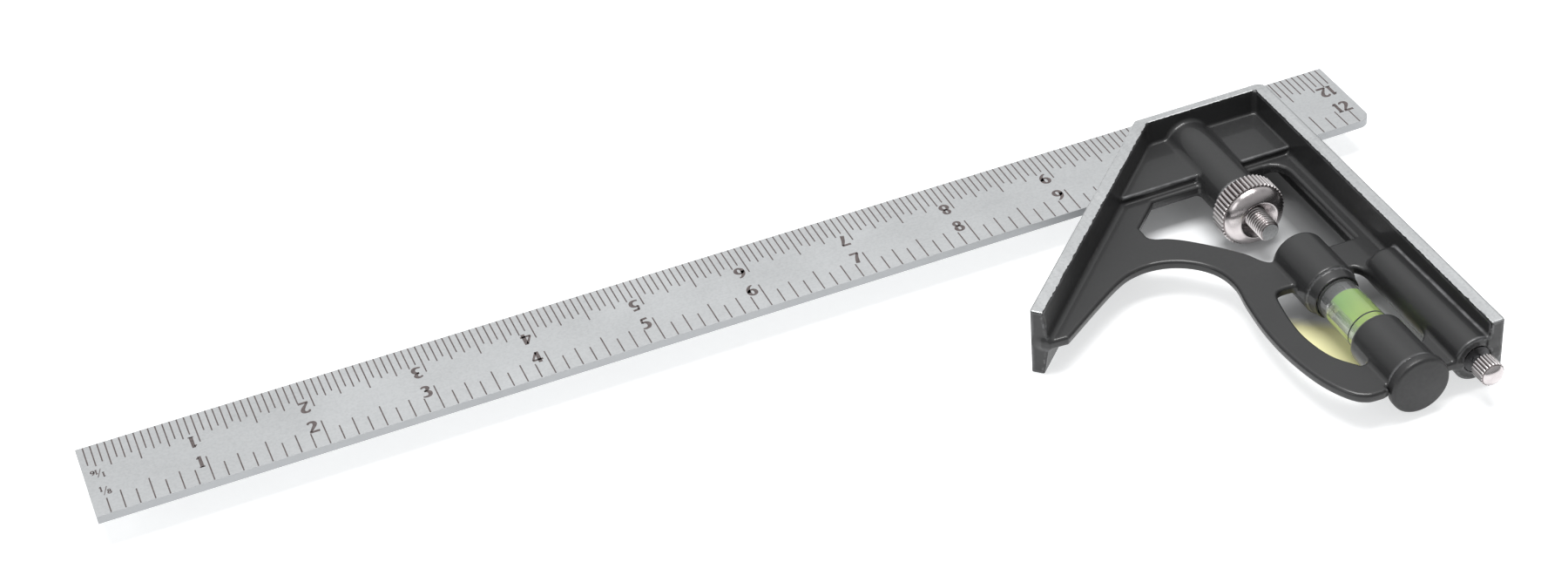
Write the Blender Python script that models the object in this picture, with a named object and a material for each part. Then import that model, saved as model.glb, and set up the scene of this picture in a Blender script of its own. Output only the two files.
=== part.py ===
"""Combination square, 12 inch: a cast head with a 90 degree and a 45 degree
face, a grooved steel rule that slides through it, a spring loaded clamp bolt
with a knurled nut, a spirit vial and a push-in scriber.

Units are metres in Blender; the constants below are millimetres.
+X runs along the rule, +Y up the head towards the rule's outer edge,
+Z is up while the tool lies flat on a bench.  The origin is the centre of the
underside of the whole tool's bounding box.
"""

import math

import bpy
import bmesh
from mathutils import Matrix, Vector

MM = 0.001
SHIFT_Y = -1.4                # the dimensions below are drawn from a datum 1.4 mm
                              # under the origin, which sits at mid length in Y

# ---------------------------------------------------------------- dimensions
HEAD_T = 17.0                 # thickness of the head
ZC = HEAD_T / 2.0             # mid plane: rule, web and every bore lie on it

# rule
RULE_L = 304.8                # 12 inch
RULE_W = 24.0
RULE_T = 2.0
RULE_TOP = 60.0               # Y of the rule's outer long edge
RULE_CORNER_R = 3.0           # rounded corner at the 12 inch end
GROOVE_W = 3.4                # clamp groove along the underside
GROOVE_D = 0.9

# outer faces of the head
FACE_90_X = 132.0
FACE_TOP_Y = 52.0
FACE_END_Y = -50.0            # lower end of the head
CORNER_45_X = 98.3            # where the top face meets the 45 degree face
FACE_45_LEN = 74.8
CORNER_CHAMFER = 1.4          # eased corner between top face and 90 degree face

# rim walls: thin at their ground edges, thicker at the root (casting draft)
RIM_45_TIP, RIM_45_ROOT = 3.0, 4.3
RIM_90_TIP, RIM_90_ROOT = 3.1, 4.0
RIM_TOP_TIP, RIM_TOP_ROOT = 2.3, 4.2

WEB_T = 2.4
HOUSING_T = 6.0               # cheeks on both sides of the rule slot
HOUSING_END_Y = 32.6

# rule slot
SLOT_CLEAR_Z = 0.12           # each side of the rule
SLOT_FLOOR_GAP = 0.05
MOUTH_RELIEF_X = 84.2

# clamp
CLAMP_X = 110.0
BOSS_CLAMP_R = 5.9
BOSS_CLAMP_TOP = 50.2
BOSS_CLAMP_END = 22.9
LUG_R = 3.9                   # half round bolt head beside the rule
LUG_TOP = 48.9
LUG_POCKET_R = 4.2
LUG_POCKET_TOP = 49.9
LUG_FLAT_GAP = 0.15           # head flat to rule face
TOOTH_W = 2.4                 # tooth that sits in the rule's groove
TOOTH_H = 0.6
SHOULDER_Y = 33.0             # bolt head's shoulder, the spring pushes on it
SPRING_SEAT_Y = 27.6          # step at the bottom of the bolt pocket
SHANK_R = 2.5                 # M5
SHANK_BORE_R = 2.65
SHANK_END = 9.2
THREAD_PITCH = 0.8
NUT_R = 8.0
NUT_LEN = 8.6
NUT_TEETH = 46
SPRING_WIRE = 0.55
SPRING_R = 3.25
SPRING_TURNS = 4.5

# spirit vial
VIAL_X = 110.9
BARREL_R = 6.4
BARREL_UP_TOP = -0.4
BARREL_UP_END = -15.6
NECK_R = 5.5
NECK_END = -18.4
BARREL_LOW_TOP = -33.4
VIAL_R = 4.9
VIAL_BORE_R = 4.96
VIAL_TOP = -5.4
VIAL_END = -44.4
VIAL_IN_R = 2.9
VIAL_FLOOR = 4.0              # solid acrylic at the closed end
VIAL_PLUG_LEN = 3.0
LIQUID_R = 2.87
LIQUID_TOP = -21.2            # the bubble is the air space between the liquid and the closed end
CAP_R = 6.9
CAP_FLANGE = 2.4
CAP_SPIGOT_R = 4.9

# scriber
SCRIBER_X = 125.8
BOSS_SCR_R = 5.4
BOSS_SCR_TOP = -11.6
KNOB_R = 2.85
KNOB_TEETH = 24
KNOB_END = -57.2
KNOB_START = -51.4
BUSH_R = 3.1
BUSH_IN_R = 1.28
BUSH_LEN = 14.0
NEEDLE_R = 1.2
NEEDLE_TIP = -15.0
NEEDLE_TAPER = 9.0


# ------------------------------------------------------------------- helpers
def clear():
    for o in list(bpy.data.objects):
        bpy.data.objects.remove(o, do_unlink=True)


def material(name, rgb, metallic, roughness, transmission=0.0):
    m = bpy.data.materials.new(name)
    m.use_nodes = True
    s = m.node_tree.nodes["Principled BSDF"]
    s.inputs["Base Color"].default_value = (*rgb, 1.0)
    s.inputs["Metallic"].default_value = metallic
    s.inputs["Roughness"].default_value = roughness
    s.inputs["Transmission Weight"].default_value = transmission
    return m


def new_object(name, bm, origin=(0.0, 0.0, 0.0), mat=None, smooth=True):
    """Object from a bmesh in world millimetres; its origin is put at origin."""
    bmesh.ops.translate(bm, verts=bm.verts, vec=-Vector(origin))
    bmesh.ops.scale(bm, verts=bm.verts, vec=(MM, MM, MM))
    bmesh.ops.recalc_face_normals(bm, faces=bm.faces)
    me = bpy.data.meshes.new(name)
    bm.to_mesh(me)
    bm.free()
    if smooth:
        me.shade_smooth()
        me.set_sharp_from_angle(angle=math.radians(32))
    o = bpy.data.objects.new(name, me)
    o.location = (Vector(origin) + Vector((0, SHIFT_Y, 0))) * MM
    bpy.context.scene.collection.objects.link(o)
    if mat is not None:
        me.materials.append(mat)
    return o


def loft(levels):
    """Closed solid through polygons of equal point count: [(z, points), ...]."""
    bm = bmesh.new()
    rings = [[bm.verts.new((x, y, z)) for x, y in pts] for z, pts in levels]
    n = len(rings[0])
    bm.faces.new(list(reversed(rings[0])))
    bm.faces.new(rings[-1])
    for a, b in zip(rings, rings[1:]):
        for i in range(n):
            j = (i + 1) % n
            bm.faces.new((a[i], a[j], b[j], b[i]))
    return bm


def prism(points, z0, z1):
    return loft([(z0, points), (z1, points)])


def turned_y(profile, x, z, steps, radius_at=None):
    """Solid of revolution about a line along Y.  profile: [(y, r), ...] from
    the upper end to the lower one; r = 0 makes a pole.  radius_at(i, r) may
    change the radius round the circle, for knurls."""
    bm = bmesh.new()
    rings = []
    for y, r in profile:
        if r <= 1e-9:
            rings.append([bm.verts.new((x, y, z))])
            continue
        ring = []
        for i in range(steps):
            a = 2 * math.pi * i / steps
            rr = radius_at(i, r) if radius_at else r
            ring.append(bm.verts.new((x + rr * math.cos(a), y, z + rr * math.sin(a))))
        rings.append(ring)
    if len(rings[0]) > 1:
        bm.faces.new(rings[0])
    if len(rings[-1]) > 1:
        bm.faces.new(list(reversed(rings[-1])))
    for a, b in zip(rings, rings[1:]):
        for i in range(steps):
            j = (i + 1) % steps
            if len(a) == 1:
                bm.faces.new((a[0], b[j], b[i]))
            elif len(b) == 1:
                bm.faces.new((a[i], a[j], b[0]))
            else:
                bm.faces.new((a[i], a[j], b[j], b[i]))
    return bm


def turned_tube_y(outer, inner, x, z, steps):
    """Open tube about a line along Y: outer and inner are [(y, r), ...], both
    from the upper end to the lower one, joined by flat rings at both ends."""
    bm = bmesh.new()
    loop = list(outer) + list(reversed(inner))
    rings = []
    for y, r in loop:
        rings.append([bm.verts.new((x + r * math.cos(2 * math.pi * i / steps), y,
                                    z + r * math.sin(2 * math.pi * i / steps)))
                      for i in range(steps)])
    for k in range(len(rings)):
        a, b = rings[k], rings[(k + 1) % len(rings)]
        for i in range(steps):
            j = (i + 1) % steps
            bm.faces.new((a[i], a[j], b[j], b[i]))
    return bm


def half_round_y(r, x, z, y0, y1, steps):
    """Half cylinder along Y, the half below its axis."""
    ring = [(x + r * math.cos(math.pi + math.pi * i / steps), z + r * math.sin(math.pi + math.pi * i / steps))
            for i in range(steps + 1)]
    bm = bmesh.new()
    a = [bm.verts.new((px, y0, pz)) for px, pz in ring]
    b = [bm.verts.new((px, y1, pz)) for px, pz in ring]
    bm.faces.new(a)
    bm.faces.new(list(reversed(b)))
    n = len(ring)
    for i in range(n):
        j = (i + 1) % n
        bm.faces.new((a[j], a[i], b[i], b[j]))
    return bm


def box(x0, x1, y0, y1, z0, z1):
    return prism([(x0, y0), (x1, y0), (x1, y1), (x0, y1)], z0, z1)


def tool(bm, name="cutter"):
    o = new_object(name, bm, smooth=False)
    o.hide_render = True
    o.display_type = "WIRE"
    return o


def combine(target, pieces, operation):
    """Boolean each piece into target, in order, with the exact solver."""
    for bm in pieces:
        cutter = tool(bm)
        mod = target.modifiers.new("bool", "BOOLEAN")
        mod.solver = "EXACT"
        mod.operation = operation
        mod.object = cutter
        bpy.context.view_layer.update()
        deps = bpy.context.evaluated_depsgraph_get()
        me = bpy.data.meshes.new_from_object(target.evaluated_get(deps))
        target.modifiers.remove(mod)
        old = target.data
        target.data = me
        bpy.data.meshes.remove(old)
        bpy.data.objects.remove(cutter, do_unlink=True)


def finish(target, name, mat, weld=0.002):
    """Weld the slivers that a Boolean leaves and flatten coplanar faces."""
    bm = bmesh.new()
    bm.from_mesh(target.data)
    bmesh.ops.remove_doubles(bm, verts=bm.verts, dist=weld * MM)
    bmesh.ops.dissolve_degenerate(bm, edges=bm.edges, dist=weld * MM)
    bmesh.ops.dissolve_limit(bm, angle_limit=math.radians(0.2), verts=bm.verts, edges=bm.edges)
    bmesh.ops.triangulate(bm, faces=[f for f in bm.faces if len(f.verts) > 4])
    bm.to_mesh(target.data)
    bm.free()
    target.data.name = name
    target.name = name
    target.data.materials.clear()
    target.data.materials.append(mat)
    target.data.shade_smooth()
    target.data.set_sharp_from_angle(angle=math.radians(32))
    return target


def arc(cx, cy, r, a0, a1, n):
    """n + 1 points round a circle, angles in degrees."""
    return [(cx + r * math.cos(math.radians(a0 + (a1 - a0) * i / n)),
             cy + r * math.sin(math.radians(a0 + (a1 - a0) * i / n))) for i in range(n + 1)]


def smooth_path(points, per=5):
    """Catmull-Rom through open control points, per segments between each."""
    out = []
    p = [points[0]] + list(points) + [points[-1]]
    for i in range(1, len(p) - 2):
        for k in range(per):
            t = k / per
            c = []
            for d in range(2):
                a, b, e, f = p[i - 1][d], p[i][d], p[i + 1][d], p[i + 2][d]
                c.append(0.5 * (2 * b + (e - a) * t + (2 * a - 5 * b + 4 * e - f) * t * t
                                + (3 * b - a - 3 * e + f) * t ** 3))
            out.append(tuple(c))
    out.append(tuple(points[-1]))
    return out


def fillet(points, radii, steps=4):
    """Round the corners of a closed polygon; radii per corner (0 = sharp)."""
    out = []
    n = len(points)
    for i, (p, r) in enumerate(zip(points, radii)):
        if r <= 0:
            out.append(tuple(p))
            continue
        b = Vector(p)
        a = Vector(points[i - 1]) - b
        c = Vector(points[(i + 1) % n]) - b
        ang = a.angle(c)
        d = r / math.tan(ang / 2)
        t0 = b + a.normalized() * d
        t1 = b + c.normalized() * d
        mid = (a.normalized() + c.normalized()).normalized()
        cen = b + mid * (r / math.sin(ang / 2))
        a0 = math.atan2(t0.y - cen.y, t0.x - cen.x)
        a1 = math.atan2(t1.y - cen.y, t1.x - cen.x)
        while a1 - a0 > math.pi:
            a1 -= 2 * math.pi
        while a1 - a0 < -math.pi:
            a1 += 2 * math.pi
        for k in range(steps + 1):
            t = a0 + (a1 - a0) * k / steps
            out.append((cen.x + r * math.cos(t), cen.y + r * math.sin(t)))
    return out


# ------------------------------------------------------------------ outlines
S = math.sqrt(0.5)
A_OUT = (CORNER_45_X - FACE_45_LEN * S, FACE_TOP_Y - FACE_45_LEN * S)
B_OUT = (CORNER_45_X, FACE_TOP_Y)
C_OUT = (FACE_90_X, FACE_TOP_Y)
D_OUT = (FACE_90_X, FACE_END_Y)


def inner_corners(t45, t90, ttop, end_y=FACE_END_Y):
    """Inner edge of the rim for the given wall thicknesses."""
    yt = FACE_TOP_Y - ttop
    # the 45 degree wall's inner line is x - y = k
    k = CORNER_45_X - FACE_TOP_Y + t45 / S
    d = (FACE_90_X - t90, end_y)
    c = (FACE_90_X - t90, yt)
    b = (yt + k, yt)
    a = (A_OUT[0] + t45 * S, A_OUT[1] - t45 * S)
    return a, b, c, d


def rim_level(t45, t90, ttop):
    a, b, c, d = inner_corners(t45, t90, ttop)
    ch = CORNER_CHAMFER
    return [A_OUT, a, b, c, d, D_OUT, (C_OUT[0], C_OUT[1] - ch), (C_OUT[0] - ch, C_OUT[1]), B_OUT]


ARC_EDGE = smooth_path([(52.8, -4.8), (69.8, 6.7), (77.1, 9.6), (83.4, 9.1), (88.7, 6.1),
                        (92.2, 1.3), (93.2, -4.9), (92.0, -12.2), (91.0, -21.9), (91.2, -31.6),
                        (92.8, -41.2), (95.7, -48.1), (98.8, -51.3), (102.9, -51.6)], 3)

WEB = ([(48.4, -4.5)] + ARC_EDGE +
       [(103.6, -51.3), (103.7, FACE_END_Y), (FACE_90_X - 1.0, FACE_END_Y), (FACE_90_X - 1.0, FACE_TOP_Y - 1.0),
        (CORNER_45_X + 0.6, FACE_TOP_Y - 1.0), (A_OUT[0] + 1.2, A_OUT[1] + 0.4)])

_CURVE = smooth_path([(88.4, 16.7), (91.8, 14.1), (96.8, 8.8), (100.8, 3.7), (103.0, -0.5), (105.6, -2.4)], 3)
WINDOW = fillet([(91.8, 30.7), (84.4, 23.3), (85.2, 18.2)] + _CURVE + [(124.8, -2.4), (124.8, 30.7)],
                [0.8, 2.2, 1.6] + [0.0] * len(_CURVE) + [3.0, 4.5], 4)

HOLE_L = smooth_path([(104.2, -11.5), (99.8, -12.0), (98.2, -17.7), (97.4, -24.7), (97.8, -30.7),
                      (99.4, -36.5), (102.8, -41.5)], 3)
HOLE_R = smooth_path([(116.6, -41.5), (120.0, -38.3), (121.4, -31.7), (121.8, -24.7), (121.1, -17.3),
                      (119.4, -12.0), (116.2, -11.5)], 3)
HOLE = HOLE_L + HOLE_R


# --------------------------------------------------------------------- pieces
def build_head(mat):
    tip = rim_level(RIM_45_TIP, RIM_90_TIP, RIM_TOP_TIP)
    root = rim_level(RIM_45_ROOT, RIM_90_ROOT, RIM_TOP_ROOT)
    half_web = WEB_T / 2
    half_hou = HOUSING_T / 2
    head = new_object("head", loft([(0.0, tip), (ZC - half_web, root), (ZC + half_web, root),
                                    (HEAD_T, tip)]), smooth=False)

    web = prism(WEB, ZC - half_web, ZC + half_web)
    combine(head, [web], "UNION")
    combine(head, [prism(WINDOW, -1.0, HEAD_T + 1.0), prism(HOLE, -1.0, HEAD_T + 1.0)], "DIFFERENCE")

    a, b, c, d = inner_corners(1.5, 1.5, 1.2)
    housing = prism([(HOUSING_END_Y + (b[0] - b[1]), HOUSING_END_Y), (c[0], HOUSING_END_Y), c, b],
                    ZC - half_hou, ZC + half_hou)
    clamp_boss = turned_y([(BOSS_CLAMP_TOP, 0.0), (BOSS_CLAMP_TOP - 0.2, BOSS_CLAMP_R * 0.5),
                           (BOSS_CLAMP_TOP - 0.9, BOSS_CLAMP_R * 0.8),
                           (BOSS_CLAMP_TOP - 2.4, BOSS_CLAMP_R * 0.96), (BOSS_CLAMP_END, BOSS_CLAMP_R)],
                          CLAMP_X, ZC, 32)
    vial_up = turned_y([(BARREL_UP_TOP, BARREL_R * 0.55), (BARREL_UP_TOP - 0.7, BARREL_R * 0.85),
                        (BARREL_UP_TOP - 2.4, BARREL_R), (BARREL_UP_END, BARREL_R),
                        (BARREL_UP_END - 0.5, BARREL_R - 0.5), (NECK_END, NECK_R)], VIAL_X, ZC, 32)
    vial_low = turned_y([(BARREL_LOW_TOP, BARREL_R * 0.85), (BARREL_LOW_TOP - 0.5, BARREL_R * 0.91),
                         (BARREL_LOW_TOP - 1.4, BARREL_R * 0.965), (BARREL_LOW_TOP - 2.8, BARREL_R),
                         (FACE_END_Y, BARREL_R)], VIAL_X, ZC, 32)
    scr = turned_y([(BOSS_SCR_TOP, 0.0), (BOSS_SCR_TOP - 0.5, BOSS_SCR_R * 0.5),
                    (BOSS_SCR_TOP - 1.4, BOSS_SCR_R * 0.76), (BOSS_SCR_TOP - 3.2, BOSS_SCR_R * 0.9),
                    (FACE_END_Y, BOSS_SCR_R)], SCRIBER_X, ZC, 32)
    combine(head, [housing, clamp_boss, vial_up, vial_low, scr], "UNION")

    # trim the bosses back to the ground outer faces
    trim = [box(FACE_90_X, FACE_90_X + 10, FACE_END_Y - 5, FACE_TOP_Y + 5, -5, HEAD_T + 5)]
    combine(head, trim, "DIFFERENCE")

    slot = box(20.0, FACE_90_X + 10, RULE_TOP - RULE_W - SLOT_FLOOR_GAP, FACE_TOP_Y + 10,
               ZC - RULE_T / 2 - SLOT_CLEAR_Z, ZC + RULE_T / 2 + SLOT_CLEAR_Z)
    slot_floor = RULE_TOP - RULE_W - SLOT_FLOOR_GAP
    # the slot's floor is relieved where it comes out of the 45 degree face
    mouth = box(60.0, MOUTH_RELIEF_X, slot_floor - 0.4, slot_floor + 1.0,
                ZC - RULE_T / 2 - SLOT_CLEAR_Z, ZC + RULE_T / 2 + SLOT_CLEAR_Z)
    pocket = turned_y([(slot_floor + 0.5, LUG_POCKET_R), (SPRING_SEAT_Y, LUG_POCKET_R)], CLAMP_X, ZC, 32)
    half = half_round_y(LUG_POCKET_R, CLAMP_X, ZC, slot_floor, LUG_POCKET_TOP, 16)
    shank = turned_y([(SPRING_SEAT_Y + 2, SHANK_BORE_R), (BOSS_CLAMP_END - 2, SHANK_BORE_R)],
                     CLAMP_X, ZC, 24)
    vial = turned_y([(VIAL_TOP + 0.1, VIAL_BORE_R), (FACE_END_Y - 2, VIAL_BORE_R)], VIAL_X, ZC, 32)
    scr_bore = turned_y([(NEEDLE_TIP + 1.5, NEEDLE_R + 0.25), (FACE_END_Y + BUSH_LEN, NEEDLE_R + 0.25),
                         (FACE_END_Y + BUSH_LEN - 0.01, BUSH_R + 0.01), (FACE_END_Y - 2, BUSH_R + 0.01)],
                        SCRIBER_X, ZC, 24)
    combine(head, [slot, mouth, pocket, half, shank, vial, scr_bore], "DIFFERENCE")
    return finish(head, "head", mat)


def build_rule(mat):
    x0, x1 = -RULE_L / 2, RULE_L / 2
    y1, y0 = RULE_TOP, RULE_TOP - RULE_W
    pts = fillet([(x0, y0), (x1, y0), (x1, y1), (x0, y1)], [0.0, RULE_CORNER_R, 0.0, 0.0], 6)
    rule = new_object("rule", prism(pts, ZC - RULE_T / 2, ZC + RULE_T / 2), smooth=False)
    yc = (y0 + y1) / 2
    groove = box(x0 - 1, x1 + 1, yc - GROOVE_W / 2, yc + GROOVE_W / 2, ZC - RULE_T, ZC - RULE_T / 2 + GROOVE_D)
    combine(rule, [groove], "DIFFERENCE")
    return finish(rule, "rule", mat)


def rule_groove_y():
    return RULE_TOP - RULE_W / 2


def build_bolt(mat):
    flat = ZC - RULE_T / 2 - LUG_FLAT_GAP
    bm = turned_y([(LUG_TOP, LUG_R - 0.4), (LUG_TOP - 0.4, LUG_R), (SHOULDER_Y, LUG_R),
                   (SHOULDER_Y, SHANK_R), (SHANK_END + 0.7, SHANK_R), (SHANK_END, SHANK_R - 0.7)],
                  CLAMP_X, ZC, 28)
    bolt = new_object("clamp_bolt", bm, origin=(CLAMP_X, 0.0, ZC), smooth=False)
    away = box(CLAMP_X - 8, CLAMP_X + 8, RULE_TOP - RULE_W - 1.0, LUG_TOP + 2, flat, HEAD_T)
    combine(bolt, [away], "DIFFERENCE")
    # tooth: its lower flank bears on the groove's lower wall when the nut pulls
    g0 = rule_groove_y() - GROOVE_W / 2
    tooth = box(CLAMP_X - 3.0, CLAMP_X + 3.0, g0 + 0.08, g0 + 0.08 + TOOTH_W, flat - 1.0,
                ZC - RULE_T / 2 + TOOTH_H)
    combine(bolt, [tooth], "UNION")
    return finish(bolt, "clamp_bolt", mat)


def build_nut(mat):
    def teeth(i, r):
        if r < NUT_R - 0.5:
            return r
        return r - (0.0 if i % 2 else 0.42)
    top, end = BOSS_CLAMP_END - 0.1, BOSS_CLAMP_END - 0.1 - NUT_LEN
    bm = turned_y([(top, 5.4), (top - 0.9, 5.4), (top - 1.0, 7.3), (top - 1.5, NUT_R), (end + 2.7, NUT_R),
                   (end + 2.5, NUT_R - 0.6), (end + 1.4, 6.7), (end + 0.5, 5.8), (end, 4.8)],
                  CLAMP_X, ZC, NUT_TEETH * 2, teeth)
    nut = new_object("clamp_nut", bm, origin=(CLAMP_X, 0.0, ZC), smooth=False)
    bore = turned_y([(top + 1, SHANK_R + 0.06), (end - 1, SHANK_R + 0.06)], CLAMP_X, ZC, 28)
    combine(nut, [bore], "DIFFERENCE")
    return finish(nut, "clamp_nut", mat)


def build_spring(mat):
    """Compression spring with closed ends, swept from a round wire."""
    y0, y1 = SPRING_SEAT_Y + 0.06, SHOULDER_Y - 0.06
    r = SPRING_WIRE / 2
    lo, hi = y0 + r, y1 - r
    per, sides = 18, 6
    n = int(SPRING_TURNS * per)
    dead = 0.75
    bm = bmesh.new()
    rings = []
    for k in range(n + 1):
        turn = SPRING_TURNS * k / n
        if turn < dead:
            y = lo + 0.32 * turn
        elif turn > SPRING_TURNS - dead:
            y = hi - 0.32 * (SPRING_TURNS - turn)
        else:
            a, b = lo + 0.32 * dead, hi - 0.32 * dead
            y = a + (b - a) * (turn - dead) / (SPRING_TURNS - 2 * dead)
        ang = 2 * math.pi * turn
        radial = Vector((math.cos(ang), 0, math.sin(ang)))
        c = Vector((CLAMP_X, y, ZC)) + radial * SPRING_R
        ring = []
        for s in range(sides):
            t = 2 * math.pi * s / sides
            ring.append(bm.verts.new(c + radial * (r * math.cos(t)) + Vector((0, 1, 0)) * (r * math.sin(t))))
        rings.append(ring)
    bm.faces.new(rings[0])
    bm.faces.new(list(reversed(rings[-1])))
    for a, b in zip(rings, rings[1:]):
        for i in range(sides):
            j = (i + 1) % sides
            bm.faces.new((a[i], a[j], b[j], b[i]))
    return new_object("clamp_spring", bm, mat=mat)


def build_vial(mat_tube, mat_liquid, mat_plug):
    s = 32
    gap = 0.03
    tube = turned_y([(VIAL_TOP, VIAL_R - 0.4), (VIAL_TOP - 0.4, VIAL_R), (VIAL_END, VIAL_R)], VIAL_X, ZC, s)
    t = new_object("vial_tube", tube, smooth=False)
    cavity_top = VIAL_TOP - VIAL_FLOOR
    bore = turned_y([(cavity_top, VIAL_IN_R), (VIAL_END - 1, VIAL_IN_R)], VIAL_X, ZC, s)
    combine(t, [bore], "DIFFERENCE")
    finish(t, "vial_tube", mat_tube)

    liq_end = VIAL_END + VIAL_PLUG_LEN + gap
    # the liquid's free end is hollowed by its meniscus
    liq = new_object("vial_liquid", turned_y([(LIQUID_TOP - 1.0, 0.0), (LIQUID_TOP - 0.9, LIQUID_R * 0.45),
                                              (LIQUID_TOP - 0.5, LIQUID_R * 0.8), (LIQUID_TOP, LIQUID_R),
                                              (liq_end, LIQUID_R)], VIAL_X, ZC, s), mat=mat_liquid)

    plug = new_object("vial_plug", turned_y([(liq_end - gap, VIAL_IN_R - 0.02), (VIAL_END, VIAL_IN_R - 0.02)],
                                            VIAL_X, ZC, s), mat=mat_plug)
    return t, liq, plug


def build_cap(mat):
    y = FACE_END_Y - 0.05
    bm = turned_y([(VIAL_END - 0.3, CAP_SPIGOT_R - 0.3), (VIAL_END - 0.7, CAP_SPIGOT_R),
                   (y, CAP_SPIGOT_R), (y, CAP_R), (y - CAP_FLANGE + 0.8, CAP_R),
                   (y - CAP_FLANGE, CAP_R - 0.8)], VIAL_X, ZC, 40)
    return new_object("vial_cap", bm, mat=mat)


def build_scriber(mat_steel, mat_knob, mat_bush):
    bush = turned_tube_y([(FACE_END_Y + BUSH_LEN - 0.3, BUSH_R), (FACE_END_Y, BUSH_R)],
                         [(FACE_END_Y + BUSH_LEN - 0.3, BUSH_IN_R), (FACE_END_Y, BUSH_IN_R)],
                         SCRIBER_X, ZC, 24)
    new_object("scriber_bush", bush, mat=mat_bush)
    needle = turned_y([(NEEDLE_TIP, 0.08), (NEEDLE_TIP - NEEDLE_TAPER, NEEDLE_R),
                       (KNOB_END + 3.0, NEEDLE_R)], SCRIBER_X, ZC, 24)
    new_object("scriber_needle", needle, origin=(SCRIBER_X, 0.0, ZC), mat=mat_steel)

    def teeth(i, r):
        return r if r < KNOB_R - 0.1 else r - (0.0 if i % 2 else 0.25)
    knob = turned_y([(KNOB_START, 1.9), (KNOB_START - 0.5, 1.9), (KNOB_START - 0.8, KNOB_R),
                     (KNOB_END + 1.0, KNOB_R), (KNOB_END + 0.7, KNOB_R - 0.35), (KNOB_END, KNOB_R - 0.9)],
                    SCRIBER_X, ZC, KNOB_TEETH * 2, teeth)
    k = new_object("scriber_knob", knob, origin=(SCRIBER_X, 0.0, ZC), smooth=False)
    hole = turned_y([(KNOB_START + 1, NEEDLE_R + 0.02), (KNOB_END + 2.9, NEEDLE_R + 0.02)], SCRIBER_X, ZC, 24)
    combine(k, [hole], "DIFFERENCE")
    finish(k, "scriber_knob", mat_knob)


def main():
    clear()
    paint = material("black_enamel", (0.035, 0.036, 0.038), 0.0, 0.42)
    steel = material("satin_steel", (0.62, 0.63, 0.63), 1.0, 0.36)
    nickel = material("nickel_plate", (0.72, 0.69, 0.68), 1.0, 0.16)
    nickel_knob = material("nickel_plate_knob", (0.72, 0.69, 0.68), 1.0, 0.2)
    zinc = material("zinc_plated_steel", (0.60, 0.60, 0.60), 1.0, 0.3)
    wire = material("spring_steel", (0.35, 0.35, 0.36), 1.0, 0.35)
    acrylic = material("clear_acrylic", (0.95, 0.98, 0.96), 0.0, 0.05, 1.0)
    liquid = material("vial_green", (0.45, 0.85, 0.12), 0.0, 0.05, 0.7)
    plug = material("acrylic_plug", (0.85, 0.88, 0.85), 0.0, 0.2, 0.6)
    plastic = material("black_plastic", (0.03, 0.03, 0.03), 0.0, 0.38)
    needle = material("hardened_steel", (0.55, 0.55, 0.56), 1.0, 0.25)
    bush = material("bush_steel", (0.16, 0.16, 0.17), 1.0, 0.4)

    build_head(paint)
    build_rule(steel)
    build_bolt(zinc)
    build_nut(nickel)
    build_spring(wire)
    build_vial(acrylic, liquid, plug)
    build_cap(plastic)
    build_scriber(needle, nickel_knob, bush)


main()
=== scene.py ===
"""Looks of the combination square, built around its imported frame."""

import math

import bmesh
import bpy
import numpy as np
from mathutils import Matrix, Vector


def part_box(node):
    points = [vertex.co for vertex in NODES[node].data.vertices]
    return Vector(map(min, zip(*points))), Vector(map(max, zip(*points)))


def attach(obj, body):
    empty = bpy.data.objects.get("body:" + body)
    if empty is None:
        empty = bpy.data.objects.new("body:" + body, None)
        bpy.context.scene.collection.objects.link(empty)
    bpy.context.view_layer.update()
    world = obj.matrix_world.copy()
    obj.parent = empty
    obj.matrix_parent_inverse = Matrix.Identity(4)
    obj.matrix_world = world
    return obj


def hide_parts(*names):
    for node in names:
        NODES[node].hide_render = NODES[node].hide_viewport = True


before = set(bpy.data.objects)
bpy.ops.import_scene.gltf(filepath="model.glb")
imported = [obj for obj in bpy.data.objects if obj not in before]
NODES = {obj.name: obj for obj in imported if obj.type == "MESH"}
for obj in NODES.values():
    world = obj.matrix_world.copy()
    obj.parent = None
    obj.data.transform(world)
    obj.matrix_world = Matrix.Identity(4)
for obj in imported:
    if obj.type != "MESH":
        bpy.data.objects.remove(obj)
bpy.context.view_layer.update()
MM = 0.001

# ------------------------------------------------------------------ placement
# Shapes are drawn in millimetres in the head's own drawing frame. Its offsets
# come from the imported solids.


def node_box(name):
    lo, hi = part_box(name)
    return np.array(lo) * 1000, np.array(hi) * 1000


_rlo, _rhi = node_box("rule")
_hlo, _hhi = node_box("head")
RULE_Z0, RULE_Z1 = _rlo[2], _rhi[2]
ZC = (_hlo[2] + _hhi[2]) / 2            # mid plane of head, rule and bores
HEAD_T = _hhi[2] - _hlo[2]
DY = 60.0 - _rhi[1]                     # drawing Y minus part Y
DX = 132.0 - _hhi[0]                    # drawing X minus part X


def axis_of(name):
    lo, hi = node_box(name)
    return (lo[0] + hi[0]) / 2 + DX, (lo[2] + hi[2]) / 2


CLAMP_X, _ = axis_of("clamp_nut")
VIAL_X, _ = axis_of("vial_cap")
SCRIBER_X, _ = axis_of("scriber_needle")

RULE_W, RULE_L = 24.0, 304.8
RULE_TOP = 60.0


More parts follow.
